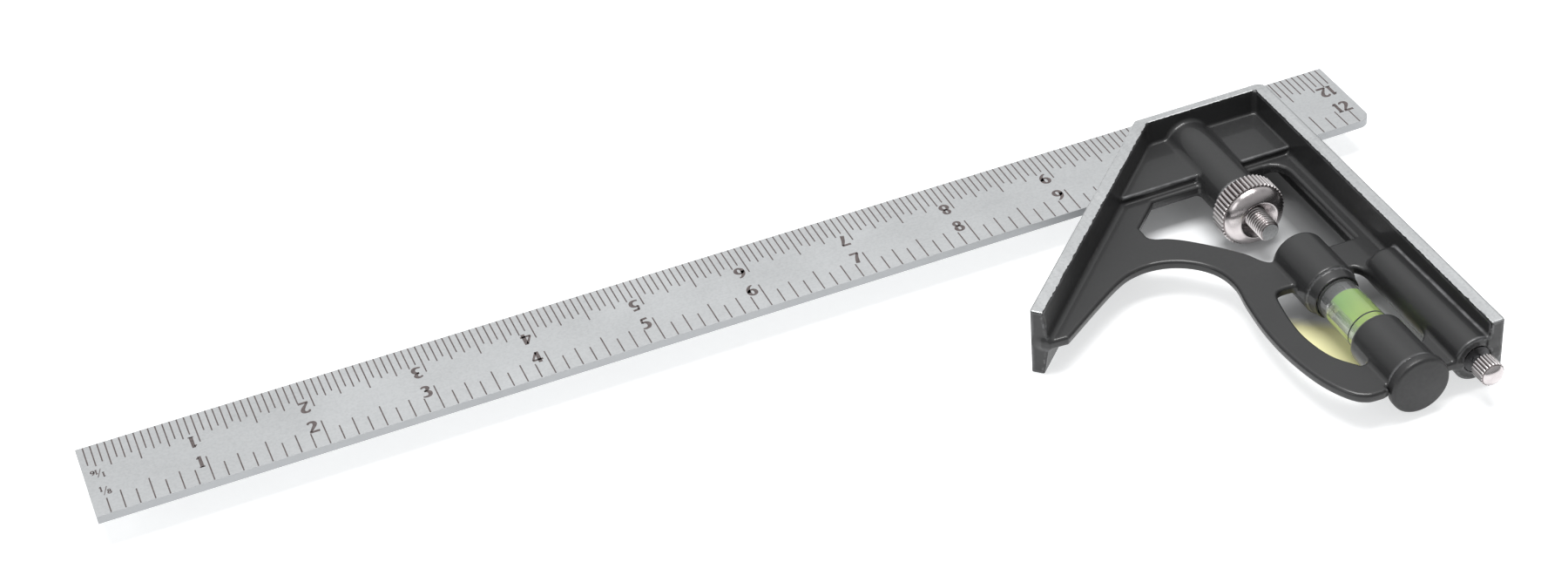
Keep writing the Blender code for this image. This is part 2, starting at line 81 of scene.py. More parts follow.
def mesh_from(name, verts, faces, smooth=True):
    """Object from millimetre vertices in the drawing frame."""
    v = np.array(verts, np.float64).reshape(-1, 3)
    v = (v - np.array([DX, DY, 0.0])) * MM
    me = bpy.data.meshes.new(name)
    if isinstance(faces, np.ndarray):
        n, k = faces.shape
        me.vertices.add(len(v))
        me.vertices.foreach_set("co", v.astype(np.float32).ravel())
        me.loops.add(n * k)
        me.loops.foreach_set("vertex_index", faces.astype(np.int32).ravel())
        me.polygons.add(n)
        me.polygons.foreach_set("loop_start", np.arange(0, n * k, k, dtype=np.int32))
        me.update(calc_edges=True)
        me.validate()
    else:
        me.from_pydata(v.tolist(), [], faces)
        me.update(calc_edges=True)
    me.polygons.foreach_set("use_smooth", np.full(len(me.polygons), smooth, dtype=bool))
    ob = bpy.data.objects.new(name, me)
    bpy.context.scene.collection.objects.link(ob)
    return ob


def sharp_by_angle(ob, degrees):
    """Marks edges sharper than the angle, so smooth shading breaks there."""
    bm = bmesh.new()
    bm.from_mesh(ob.data)
    lim = math.radians(degrees)
    for e in bm.edges:
        e.smooth = not (len(e.link_faces) == 2 and e.calc_face_angle(0.0) > lim)
    bm.to_mesh(ob.data)
    bm.free()


# ------------------------------------------------------------------ materials
class Nodes:
    """Short hand for building node materials."""

    def __init__(self, name):
        self.mat = bpy.data.materials.new(name)
        self.mat.use_nodes = True
        self.tree = self.mat.node_tree
        self.shader = self.tree.nodes["Principled BSDF"]
        self.coord = None

    def add(self, kind, **values):
        n = self.tree.nodes.new(kind)
        for k, v in values.items():
            setattr(n, k, v)
        return n

    def link(self, a, b):
        self.tree.links.new(a, b)

    def object_coord(self):
        if self.coord is None:
            self.coord = self.add("ShaderNodeTexCoord").outputs["Object"]
        return self.coord

    def mapped(self, scale, rotation=(0, 0, 0), location=(0, 0, 0)):
        m = self.add("ShaderNodeMapping")
        m.inputs["Scale"].default_value = scale
        m.inputs["Rotation"].default_value = rotation
        m.inputs["Location"].default_value = location
        self.link(self.object_coord(), m.inputs["Vector"])
        return m.outputs["Vector"]

    def noise(self, vector, scale, detail=3.0, rough=0.5, distortion=0.0):
        n = self.add("ShaderNodeTexNoise")
        n.inputs["Scale"].default_value = scale
        n.inputs["Detail"].default_value = detail
        n.inputs["Roughness"].default_value = rough
        n.inputs["Distortion"].default_value = distortion
        self.link(vector, n.inputs["Vector"])
        return n.outputs["Fac"]

    def ramp(self, value, stops, interpolation="LINEAR"):
        r = self.add("ShaderNodeValToRGB")
        r.color_ramp.interpolation = interpolation
        e = r.color_ramp.elements
        while len(e) > 1:
            e.remove(e[-1])
        for i, (pos, col) in enumerate(stops):
            item = e[0] if i == 0 else e.new(pos)
            item.position = pos
            item.color = (*col, 1.0) if len(col) == 3 else col
        self.link(value, r.inputs["Fac"])
        return r.outputs["Color"]

    def math(self, op, a, b=None, clamp=False):
        m = self.add("ShaderNodeMath", operation=op, use_clamp=clamp)
        for i, x in enumerate((a, b)):
            if x is None:
                continue
            if isinstance(x, (int, float)):
                m.inputs[i].default_value = x
            else:
                self.link(x, m.inputs[i])
        return m.outputs[0]

    def mix(self, fac, a, b):
        m = self.add("ShaderNodeMix", data_type="RGBA")
        for sock, x in (("Factor", fac), ("A", a), ("B", b)):
            target = [s for s in m.inputs if s.name == sock and (s.type == "RGBA" or sock == "Factor" and s.type == "VALUE")][0]
            if isinstance(x, (int, float)):
                target.default_value = x
            elif isinstance(x, tuple):
                target.default_value = (*x, 1.0)
            else:
                self.link(x, target)
        return [o for o in m.outputs if o.type == "RGBA"][0]

    def remap(self, value, a0, a1, b0, b1):
        m = self.add("ShaderNodeMapRange")
        for k, v in zip(("From Min", "From Max", "To Min", "To Max"), (a0, a1, b0, b1)):
            m.inputs[k].default_value = v
        self.link(value, m.inputs["Value"])
        return m.outputs["Result"]

    def bump(self, height, strength, distance, normal=None):
        b = self.add("ShaderNodeBump")
        b.inputs["Strength"].default_value = strength
        b.inputs["Distance"].default_value = distance
        self.link(height, b.inputs["Height"])
        if normal is not None:
            self.link(normal, b.inputs["Normal"])
        return b.outputs["Normal"]

    def set(self, **values):
        for k, v in values.items():
            s = self.shader.inputs[k.replace("_", " ")]
            if isinstance(v, (int, float)):
                s.default_value = v
            elif isinstance(v, tuple):
                s.default_value = (*v, 1.0) if s.type == "RGBA" and len(v) == 3 else v
            else:
                self.link(v, s)


def head_material():
    """Black enamel, with bare ground metal on the outer faces and the rims' edges."""
    m = Nodes("enamel_and_ground_faces")
    sep = m.add("ShaderNodeSeparateXYZ")
    m.link(m.object_coord(), sep.inputs[0])
    x, y, z = sep.outputs
    edge = 0.16 * MM
    top_y = (52.0 - DY) * MM
    face_x = (132.0 - DX) * MM
    d45 = (46.3 - DX + DY) * MM          # part frame: x - y on the 45 degree face
    masks = [
        m.math("LESS_THAN", z, edge),
        m.math("GREATER_THAN", z, HEAD_T * MM - edge),
        m.math("GREATER_THAN", x, face_x - edge),
        m.math("GREATER_THAN", y, top_y - edge),
        m.math("LESS_THAN", m.math("SUBTRACT", x, y), d45 + edge * 1.4),
    ]
    # paint laps a little over the rims' inner corners, unevenly
    lap = m.noise(m.object_coord(), 700.0, 3.0, 0.6)
    lap = m.math("MULTIPLY", m.math("SUBTRACT", lap, 0.36), 0.9 * MM)
    w90 = m.math("SUBTRACT", (132.0 - 3.1 - DX) * MM, x)
    wtop = m.math("SUBTRACT", (52.0 - 2.3 - DY) * MM, y)
    w45 = m.math("MULTIPLY", m.math("SUBTRACT", m.math("SUBTRACT", x, y), d45 + 3.0 * math.sqrt(2.0) * MM), math.sqrt(0.5))
    inner = m.math("MINIMUM", m.math("MINIMUM", w90, wtop), w45)
    flat = m.math("LESS_THAN", inner, m.math("MULTIPLY", lap, -1.0))
    bare = m.math("MULTIPLY", m.math("MAXIMUM", masks[0], masks[1]), flat)
    for k in masks[2:]:
        bare = m.math("MAXIMUM", bare, k)

    big = m.noise(m.object_coord(), 60.0, 3.0)
    paint = m.ramp(big, [(0.25, (0.0105, 0.0106, 0.0112)), (0.75, (0.0145, 0.0147, 0.0152))])
    # lighter grey along the outer edges: worn enamel with a painted highlight on the edges
    worn_and_highlit = m.add("ShaderNodeAttribute", attribute_name="edge_wear_and_highlight").outputs["Fac"]
    patch = m.remap(m.noise(m.object_coord(), 260.0, 3.0, 0.6), 0.36, 0.62, 0.25, 1.0)
    paint = m.mix(m.math("MULTIPLY", worn_and_highlit, patch), paint, (0.105, 0.106, 0.110))
    streak = m.noise(m.mapped((900, 60, 900), (0, 0, 0.4)), 1.0, 3.0, 0.6)
    blot = m.noise(m.object_coord(), 140.0, 3.0, 0.55)
    grit = m.noise(m.object_coord(), 1300.0, 3.0, 0.65)
    metal = m.mix(m.remap(streak, 0.3, 0.7, 0.0, 1.0), (0.50, 0.51, 0.515), (0.60, 0.61, 0.615))
    metal = m.mix(m.remap(blot, 0.35, 0.75, 0.0, 0.5), metal, (0.46, 0.47, 0.48))
    metal = m.mix(m.remap(grit, 0.45, 0.72, 0.0, 0.5), metal, (0.37, 0.38, 0.39))
    fine = m.noise(m.object_coord(), 900.0, 2.0)
    peel = m.noise(m.object_coord(), 1500.0, 2.0, 0.55)
    lumps = m.noise(m.object_coord(), 220.0, 2.0, 0.5)
    grind = m.noise(m.mapped((2600, 200, 2600), (0, 0, 0.4)), 1.0, 2.0, 0.6)
    height = m.math("ADD", m.math("MULTIPLY", peel, 0.35), m.math("MULTIPLY", lumps, 1.6))
    n1 = m.bump(height, 0.28, 0.00006)
    n2 = m.bump(grind, 0.25, 0.00003)
    normal = m.add("ShaderNodeMix", data_type="VECTOR")
    m.link(bare, normal.inputs[0])
    vec_in = [s for s in normal.inputs if s.type == "VECTOR" and s.name in ("A", "B")]
    m.link(n1, vec_in[0])
    m.link(n2, vec_in[1])
    out = [o for o in normal.outputs if o.type == "VECTOR"][0]
    rough_p = m.remap(fine, 0.2, 0.8, 0.44, 0.54)
    rough_m = m.remap(blot, 0.2, 0.8, 0.38, 0.52)
    rough = m.add("ShaderNodeMix", data_type="FLOAT")
    fl = [s for s in rough.inputs if s.type == "VALUE"]
    m.link(bare, fl[0])
    m.link(rough_p, fl[1])
    m.link(rough_m, fl[2])
    m.shader.inputs["Coat Weight"].default_value = 0.38
    m.shader.inputs["Specular IOR Level"].default_value = 0.40
    m.shader.inputs["Coat Roughness"].default_value = 0.09
    m.set(Base_Color=m.mix(bare, paint, metal), Metallic=bare,
          Roughness=[o for o in rough.outputs if o.type == "VALUE"][0], Normal=out)
    return m.mat


def rule_material():
    m = Nodes("satin_ground_steel")
    streak = m.noise(m.mapped((120, 2600, 2600)), 1.0, 4.0, 0.65)
    cloud = m.noise(m.object_coord(), 45.0, 4.0, 0.55)
    speck = m.noise(m.object_coord(), 1500.0, 3.0, 0.65)
    col = m.mix(m.remap(streak, 0.3, 0.7, 0.0, 1.0), (0.560, 0.572, 0.580), (0.594, 0.603, 0.610))
    col = m.mix(m.remap(cloud, 0.35, 0.7, 0.0, 0.4), col, (0.525, 0.538, 0.548))
    col = m.mix(m.remap(speck, 0.42, 0.72, 0.0, 0.55), col, (0.465, 0.475, 0.482))
    # painted shade: the sheared sides, turned sideways, are coloured darker than the ground faces
    sep = m.add("ShaderNodeSeparateXYZ")
    m.link(m.add("ShaderNodeTexCoord").outputs["Normal"], sep.inputs[0])
    side = m.remap(m.math("ABSOLUTE", sep.outputs[2]), 0.3, 0.92, 1.0, 0.0)
    col = m.mix(side, col, (0.40, 0.41, 0.42))
    m.set(Base_Color=col, Metallic=1.0, Roughness=m.math("ADD", m.remap(cloud, 0.25, 0.75, 0.38, 0.48),
                                                       m.math("MULTIPLY", side, 0.15)),
          Normal=m.bump(m.math("ADD", streak, speck), 0.10, 0.00002))
    return m.mat


def ink_material():
    m = Nodes("etched_black")
    n = m.noise(m.object_coord(), 1600.0, 3.0)
    m.set(Base_Color=m.ramp(n, [(0.3, (0.050, 0.038, 0.038)), (0.7, (0.100, 0.082, 0.080))]),
          Roughness=0.62, Normal=m.bump(n, 0.2, 0.00002))
    return m.mat


def line_material():
    m = Nodes("printed_vial_line")
    n = m.noise(m.object_coord(), 900.0, 2.0)
    m.set(Base_Color=m.ramp(n, [(0.3, (0.006, 0.007, 0.006)), (0.7, (0.014, 0.015, 0.013))]), Roughness=0.6)
    return m.mat


def nickel_material(name, axis_x, ridge_r, groove_r):
    """Bright nickel on a knurled turning, with painted shade and grime darkening the grooves and a painted highlight
    lightening the ridge crests.
    """
    m = Nodes(name)
    n = m.noise(m.object_coord(), 500.0, 3.0)
    col = m.mix(m.remap(n, 0.3, 0.7, 0.0, 1.0), (0.53, 0.49, 0.495), (0.63, 0.59, 0.59))
    sep = m.add("ShaderNodeSeparateXYZ")
    m.link(m.object_coord(), sep.inputs[0])
    dx = m.math("SUBTRACT", sep.outputs[0], (axis_x - DX) * MM)
    dz = m.math("SUBTRACT", sep.outputs[2], ZC * MM)
    r = m.math("SQRT", m.math("ADD", m.math("MULTIPLY", dx, dx), m.math("MULTIPLY", dz, dz)))
    groove_shade_and_grime = m.remap(r, ridge_r * MM, groove_r * MM, 0.0, 1.0)
    on_band = m.math("GREATER_THAN", r, (groove_r - 0.06) * MM)
    # painted highlight: the ridge crests are coloured lighter
    col = m.mix(m.math("GREATER_THAN", r, (ridge_r - 0.1) * MM), col, (0.70, 0.67, 0.67))
    # painted shade with grime: the grooves are coloured darker
    col = m.mix(m.math("MULTIPLY", groove_shade_and_grime, on_band), col, (0.15, 0.13, 0.13))
    m.set(Base_Color=col, Metallic=1.0, Roughness=m.math("ADD", m.remap(n, 0.3, 0.7, 0.20, 0.28), m.math("MULTIPLY", on_band, 0.10)),
          Normal=m.bump(m.noise(m.object_coord(), 900.0, 2.0), 0.05, 0.00003))
    return m.mat


def zinc_material():
    m = Nodes("plated_steel")
    n = m.noise(m.object_coord(), 800.0, 3.0)
    col = m.mix(m.remap(n, 0.3, 0.7, 0.0, 1.0), (0.60, 0.585, 0.58), (0.72, 0.70, 0.695))
    m.set(Base_Color=col, Metallic=1.0, Roughness=m.remap(n, 0.3, 0.7, 0.2, 0.3),
          Normal=m.bump(n, 0.15, 0.00003))
    return m.mat


def cut_end_material():
    """The sheared end of the bolt: dull grey steel."""
    m = Nodes("sheared_steel")
    n = m.noise(m.object_coord(), 1800.0, 4.0, 0.65)
    col = m.mix(m.remap(n, 0.3, 0.7, 0.0, 1.0), (0.30, 0.305, 0.31), (0.48, 0.485, 0.49))
    m.set(Base_Color=col, Metallic=0.9, Roughness=0.55, Normal=m.bump(n, 0.5, 0.00005))
    return m.mat


def dark_steel_material(name, lo, hi, rough):
    m = Nodes(name)
    n = m.noise(m.object_coord(), 700.0, 3.0)
    col = m.mix(m.remap(n, 0.3, 0.7, 0.0, 1.0), (lo, lo, lo * 1.03), (hi, hi, hi * 1.03))
    m.set(Base_Color=col, Metallic=1.0, Roughness=m.remap(n, 0.3, 0.7, rough - 0.05, rough + 0.05))
    return m.mat


def cap_material():
    m = Nodes("black_moulded_cap")
    n = m.noise(m.object_coord(), 1100.0, 3.0)
    lump = m.noise(m.object_coord(), 180.0, 2.0)
    m.set(Base_Color=m.ramp(n, [(0.3, (0.016, 0.016, 0.017)), (0.7, (0.022, 0.022, 0.0225))]),
          Roughness=m.remap(lump, 0.3, 0.7, 0.36, 0.46), Normal=m.bump(n, 0.12, 0.00004))
    m.shader.inputs["Specular IOR Level"].default_value = 0.42
    return m.mat


def clear_material(name, color, ior, haze):
    m = Nodes(name)
    n = m.noise(m.object_coord(), 300.0, 2.0)
    m.set(Base_Color=color, Transmission_Weight=1.0 - haze, IOR=ior, Roughness=m.remap(n, 0.3, 0.7, 0.012, 0.03))
    return m.mat


def liquid_material():
    """Dyed spirit, yellower toward the lower end, with painted light: greener, denser and glowing on the side light
    comes through, clear on the shaded side, and a painted bright line along one edge.
    """
    m = Nodes("yellow_green_spirit")
    sep = m.add("ShaderNodeSeparateXYZ")
    m.link(m.object_coord(), sep.inputs[0])
    n = m.noise(m.object_coord(), 160.0, 2.0)
    dx = m.math("SUBTRACT", sep.outputs[0], (VIAL_X - DX) * MM)
    dz = m.math("SUBTRACT", sep.outputs[2], ZC * MM)
    side = m.math("ADD", m.math("MULTIPLY", dx, 0.826), m.math("MULTIPLY", dz, 0.564))
    # painted light: green and lit on the side toward the light, clear on the shaded side
    painted_glow = m.remap(side, -1.55 * MM, -0.75 * MM, 0.0, 1.0)
    # painted highlight: a bright line along the shaded edge
    rim = m.remap(side, -2.835 * MM, -2.872 * MM, 0.0, 1.0)
    body = m.math("MAXIMUM", painted_glow, rim)
    along = m.remap(sep.outputs[1], (-23.0 - DY) * MM, (-32.0 - DY) * MM, 0.0, 1.0)
    # yellower toward the lower end, and yellower on the lit side as painted light
    warm = m.math("ADD", m.math("MULTIPLY", along, 0.65), m.remap(side, 0.0, 2.8 * MM, 0.0, 0.35), clamp=True)
    warm = m.math("MAXIMUM", warm, rim)
    dye = m.mix(warm, (0.30, 0.58, 0.13), (0.56, 0.74, 0.10))
    dye = m.mix(m.remap(n, 0.3, 0.7, 0.0, 0.3), dye, (0.46, 0.70, 0.16))
    col = m.mix(body, (0.80, 0.86, 0.70), dye)
    m.set(Base_Color=col, Transmission_Weight=m.remap(body, 0.0, 1.0, 0.97, 0.42), IOR=1.36, Roughness=0.03)
    # painted glow: the spirit gives off a faint light in the dye's colour
    m.set(Emission_Color=m.mix(body, (0.02, 0.03, 0.01), dye))
    m.shader.inputs["Emission Strength"].default_value = 0.10
    return m.mat


# ----------------------------------------------------------------- drawing aid
def smooth_path(pts, per):
    """Catmull-Rom through the points."""
    out = []
    n = len(pts)
    for i in range(n - 1):
        p0 = pts[max(i - 1, 0)]
        p1, p2 = pts[i], pts[i + 1]
        p3 = pts[min(i + 2, n - 1)]
        for k in range(per):
            t = k / per
            out.append(tuple(0.5 * ((2 * b) + (-a + c) * t + (2 * a - 5 * b + 4 * c - d) * t * t
                                    + (-a + 3 * b - 3 * c + d) * t ** 3)
                             for a, b, c, d in zip(p0, p1, p2, p3)))
    out.append(tuple(pts[-1]))
    return out


def turned(name, profile, x, steps, radius=None, z=None, smooth=True, swirl=None):
    """Closed turned body about a line along Y. profile is [(y, r)], radius(row, y, angles, r) may vary r."""
    z = ZC if z is None else z
    ang = np.arange(steps) * 2 * math.pi / steps
    verts, faces, rings = [], [], []
    for i, (y, r) in enumerate(profile):
        if r <= 1e-6:
            rings.append([len(verts)])
            verts.append((x, y, z))
            continue
        rr = np.full(steps, r) if radius is None else radius(i, y, ang, r)
        rings.append(list(range(len(verts), len(verts) + steps)))
        verts.extend(zip(x + rr * np.cos(ang), np.full(steps, y), z + rr * np.sin(ang)))
    for a, b in zip(rings, rings[1:]):
        for k in range(steps):
            j = (k + 1) % steps
            if len(a) == 1 and len(b) == 1:
                continue
            if len(a) == 1:
                faces.append((a[0], b[j], b[k]))
            elif len(b) == 1:
                faces.append((a[k], a[j], b[0]))
            else:
                faces.append((a[k], a[j], b[j], b[k]))
    if len(rings[0]) > 1:
        faces.append(tuple(reversed(rings[0])))
    if len(rings[-1]) > 1:
        faces.append(tuple(rings[-1]))
    ob = mesh_from(name, verts, faces, smooth)
    bm = bmesh.new()
    bm.from_mesh(ob.data)
    bmesh.ops.recalc_face_normals(bm, faces=bm.faces)
    bm.to_mesh(ob.data)
    bm.free()
    return ob


def ring_body(name, profile, x, steps, smooth=True):
    """Closed ring about a line along Y from a closed (y, r) profile."""
    ang = np.arange(steps) * 2 * math.pi / steps
    verts, faces = [], []
    n = len(profile)
    for y, r in profile:
        verts.extend(zip(x + r * np.cos(ang), np.full(steps, y), ZC + r * np.sin(ang)))
    for i in range(n):
        a, b = i * steps, ((i + 1) % n) * steps
        for k in range(steps):
            j = (k + 1) % steps
            faces.append((a + k, a + j, b + j, b + k))
    ob = mesh_from(name, verts, faces, smooth)
    bm = bmesh.new()
    bm.from_mesh(ob.data)
    bmesh.ops.recalc_face_normals(bm, faces=bm.faces)
    bm.to_mesh(ob.data)
    bm.free()
    return ob


def round_corner(profile, radii, steps=5):
    """Rounds the corners of an open (y, r) profile."""
    out = []
    for i, p in enumerate(profile):
        rad = radii[i]
        if rad <= 0 or i == 0 or i == len(profile) - 1:
            out.append(p)
            continue
        a, b, c = np.array(profile[i - 1], float), np.array(p, float), np.array(profile[i + 1], float)
        u, v = a - b, c - b
        lu, lv = np.linalg.norm(u), np.linalg.norm(v)
        u, v = u / lu, v / lv
        half = math.acos(max(-1, min(1, float(u @ v)))) / 2
        cut = min(rad / math.tan(half), lu * 0.49, lv * 0.49)
        for k in range(steps + 1):
            t = k / steps
            q = (1 - t) ** 2 * (b + u * cut) + 2 * t * (1 - t) * b + t * t * (b + v * cut)
            out.append((float(q[0]), float(q[1])))
    return out


def knurl(R, depth, teeth, lo_r, sharp=0.32):
    """Radius function: straight V grooves wherever the body is at least lo_r."""
    def f(i, y, ang, r):
        if r < lo_r:
            return np.full(len(ang), r)
        k = min(1.0, (r - lo_r) / max(R - lo_r, 1e-6))
        ph = np.abs(((ang * teeth / (2 * math.pi)) % 1.0) - 0.5) * 2      # 0 on a ridge's middle, 1 in the groove
        g = np.clip((ph - sharp) / (1 - sharp), 0, 1)
        return r - depth * k * g ** 0.9
    return f


# --------------------------------------------------------------- head surface
def poly_distance(x, y, pts):
    """Signed distance to a closed polygon, negative inside."""
    d2 = np.full(np.broadcast(x, y).shape, 1e9, np.float32)
    inside = np.zeros(d2.shape, bool)
    n = len(pts)
    for i in range(n):
        ax, ay = pts[i]
        bx, by = pts[(i + 1) % n]
        ex, ey = bx - ax, by - ay
        wx, wy = x - ax, y - ay
        t = np.clip((wx * ex + wy * ey) / (ex * ex + ey * ey + 1e-12), 0, 1)
        d2 = np.minimum(d2, (wx - ex * t) ** 2 + (wy - ey * t) ** 2)
        if ay != by:
            inside ^= ((ay > y) != (by > y)) & (x < (bx - ax) * (y - ay) / (by - ay) + ax)
    return np.where(inside, -1.0, 1.0).astype(np.float32) * np.sqrt(d2)


def rmin(a, b, r):
    """Union with a round fillet of radius r."""
    return np.maximum(r, np.minimum(a, b)) - np.sqrt(np.maximum(r - a, 0) ** 2 + np.maximum(r - b, 0) ** 2)


def rmax(a, b, r):
    """Intersection with a round edge of radius r."""
    return np.minimum(-r, np.maximum(a, b)) + np.sqrt(np.maximum(r + a, 0) ** 2 + np.maximum(r + b, 0) ** 2)


ARC_EDGE = smooth_path([(52.8, -4.8), (69.8, 6.7), (77.1, 9.6), (83.4, 9.1), (88.7, 6.1),
                        (92.2, 1.3), (93.2, -4.9), (92.0, -12.2), (91.0, -21.9), (91.2, -31.6),
                        (92.8, -41.2), (95.7, -48.1), (98.8, -51.0), (102.4, -51.5)], 8)
WEB = [(47.0, -3.2), (48.4, -4.5)] + ARC_EDGE + [(103.7, -51.2), (104.0, -50.0), (131.0, -50.0), (131.0, 51.0),
                                                 (98.9, 51.0), (46.6, -0.5)]
_CURVE = smooth_path([(84.45, 21.2), (84.6, 19.3), (85.9, 18.0), (88.4, 16.8), (91.8, 14.1), (96.8, 8.8), (100.8, 3.7), (103.0, -0.5),
                      (105.6, -2.4)], 8)
WINDOW = ([(91.8, 30.7), (84.4, 23.3)] + _CURVE + [(124.8, -2.4), (124.8, 26.2), (124.5, 27.9), (123.6, 29.4),
                                                    (122.1, 30.4), (120.3, 30.7)])
HOLE = (smooth_path([(104.2, -11.5), (99.8, -12.0), (98.2, -17.7), (97.4, -24.7), (97.8, -30.7),
                     (99.4, -36.5), (102.8, -41.5)], 8) +
        smooth_path([(116.6, -41.5), (120.0, -38.3), (121.4, -31.7), (121.8, -24.7), (121.1, -17.3),
                     (119.4, -12.0), (116.2, -11.5)], 8))
HOUSING = [(78.9, 32.6), (130.5, 32.6), (130.5, 50.8), (97.1, 50.8)]


def head_plan(x, y):
    """Plan distances that don't change with height: web with its openings, and the cheeks."""
    web = rmax(poly_distance(x, y, WEB), -poly_distance(x, y, WINDOW), 0.6)
    web = rmax(web, -poly_distance(x, y, HOLE), 0.8)
    return web, poly_distance(x, y, HOUSING)


def head_field(x, y, z, web2, hou2):
    """Signed distance of the casting at drawing coordinates."""
    s2 = math.sqrt(0.5)
    az = np.abs(z - ZC)
    half = HEAD_T / 2
    t = az / half
    f90 = x - 132.0
    ftop = y - 52.0
    f45 = (46.3 - (x - y)) * s2
    outer = rmax(rmax(f90, ftop, 0.15), f45, 0.15)
    outer = rmax(outer, (x + y - (184.0 - 1.5)) * s2, 0.5)
    outer = rmax(outer, -50.0 - y, 0.35)
    outer = rmax(outer, (44.45 - (x + y)) * s2, 0.5)
    w90 = -f90 - (4.1 - 1.0 * t)
    wtop = -ftop - (4.2 - 1.9 * t)
    w45 = -f45 - (4.3 - 1.3 * t)
    inner = rmin(rmin(w90, wtop, 1.3), w45, 0.8)
    rim = rmax(rmax(outer, inner, 0.12), az - half, 0.14)
    web = rmax(web2, az - 1.2, 0.85)
    body = rmin(rim, web, 1.1)
    cheeks = rmax(hou2, az - 3.0, 0.4)
    body = rmin(body, cheeks, 0.55)

    zz = (z - ZC) ** 2
    rc = np.sqrt((x - CLAMP_X) ** 2 + zz)
    boss = rmax(rmax(rc - 5.9, y - 50.2, 1.2), 22.9 - y, 0.45)
    body = rmin(body, boss, 0.9)

    rv = np.sqrt((x - VIAL_X) ** 2 + zz)
    up = rmax(rmax(rv - 6.4, y + 0.4, 1.7), -15.8 - y, 0.75)
    neck = (rv - (5.5 + np.clip((y + 18.4) * 0.14, 0.0, 0.4))) * 0.98
    neck = rmax(rmax(neck, -18.4 - y, 0.3), y + 12.0, 0.2)
    up = rmin(up, neck, 0.3)
    low = rmax(rmax(rv - 6.4, y + 33.4, 1.7), -50.0 - y, 0.25)
    body = rmin(body, up, 0.9)
    body = rmin(body, low, 0.9)

    rs = np.sqrt((x - SCRIBER_X) ** 2 + zz)
    scr = rmax(rs - (5.4 - 0.55 * np.clip((y + 50.0) / 38.0, 0, 1)), y + 11.6, 2.6)
    scr = rmax(scr, -50.0 - y, 0.6)
    body = rmin(body, rmax(scr, f90, 0.1), 0.8)

    # slot for the rule, clamp pocket, bores
    slot = np.maximum(35.95 - y, az - 1.12)
    slot = np.minimum(slot, np.maximum(np.maximum(35.55 - y, az - 1.12), x - 84.2))
    pocket = np.maximum(np.maximum(rc - 4.2, 27.6 - y), np.minimum(np.maximum(y - 49.9, z - ZC), y - 36.4))
    shank = np.maximum(np.maximum(rc - 2.65, 20.0 - y), y - 30.0)
    vial = np.maximum(rv - 4.96, y + 5.3)
    needle = np.maximum(rs - 1.45, y + 13.5)
    bush = np.maximum(rs - 3.12, y + 36.0)
    for cut in (slot, pocket, shank, vial, needle, bush):
        body = np.maximum(body, -cut)
    return body


def surface_nets(F, origin, h):
    """Quads through the zero surface of a sampled field."""
    nx, ny, nz = F.shape
    S = F < 0
    c = S[:-1, :-1, :-1].astype(np.int8)
    total = c.copy()
    for dx, dy, dz in [(1, 0, 0), (0, 1, 0), (0, 0, 1), (1, 1, 0), (1, 0, 1), (0, 1, 1), (1, 1, 1)]:
        total += S[dx:nx - 1 + dx, dy:ny - 1 + dy, dz:nz - 1 + dz]
    active = (total > 0) & (total < 8)
    idx = np.argwhere(active)
    index = np.full(active.shape, -1, np.int32)
    index[active] = np.arange(len(idx))
    corners = [(0, 0, 0), (1, 0, 0), (0, 1, 0), (1, 1, 0), (0, 0, 1), (1, 0, 1), (0, 1, 1), (1, 1, 1)]
    val = [F[idx[:, 0] + a, idx[:, 1] + b, idx[:, 2] + c] for a, b, c in corners]
    acc = np.zeros((len(idx), 3))
    cnt = np.zeros(len(idx))
    for i in range(8):
        for j in range(i + 1, 8):
            d = np.array(corners[j]) - np.array(corners[i])
            if np.abs(d).sum() != 1:
                continue
            cross = (val[i] < 0) != (val[j] < 0)
            t = val[i] / np.where(cross, val[i] - val[j], 1.0)
            p = np.array(corners[i])[None, :] + t[:, None] * d[None, :]
            acc += np.where(cross[:, None], p, 0)
            cnt += cross
    verts = origin + (idx + acc / cnt[:, None]) * h
    quads = []
    for ax in range(3):
        a = [slice(None)] * 3
        b = [slice(None)] * 3
        a[ax], b[ax] = slice(0, -1), slice(1, None)
        change = S[tuple(a)] != S[tuple(b)]
        e = np.argwhere(change)
        o1, o2 = [k for k in range(3) if k != ax]
        ok = (e[:, o1] > 0) & (e[:, o2] > 0) & (e[:, o1] < F.shape[o1] - 1) & (e[:, o2] < F.shape[o2] - 1)
        e = e[ok]
        flip = S[e[:, 0], e[:, 1], e[:, 2]]

        def cell(d1, d2):
            q = e.copy()
            q[:, o1] += d1
            q[:, o2] += d2
            return index[q[:, 0], q[:, 1], q[:, 2]]
        q = np.stack([cell(-1, -1), cell(0, -1), cell(0, 0), cell(-1, 0)], 1)
        if ax == 1:
            flip = ~flip
        q = np.where(flip[:, None], q, q[:, ::-1])
        quads.append(q)
    return verts, np.concatenate(quads)


def bilinear(grid, x0, y0, h, x, y):
    u = (x - x0) / h
    v = (y - y0) / h
    i = np.clip(np.floor(u).astype(int), 0, grid.shape[0] - 2)
    j = np.clip(np.floor(v).astype(int), 0, grid.shape[1] - 2)
    a, b = u - i, v - j
    return (grid[i, j] * (1 - a) * (1 - b) + grid[i + 1, j] * a * (1 - b)
            + grid[i, j + 1] * (1 - a) * b + grid[i + 1, j + 1] * a * b)


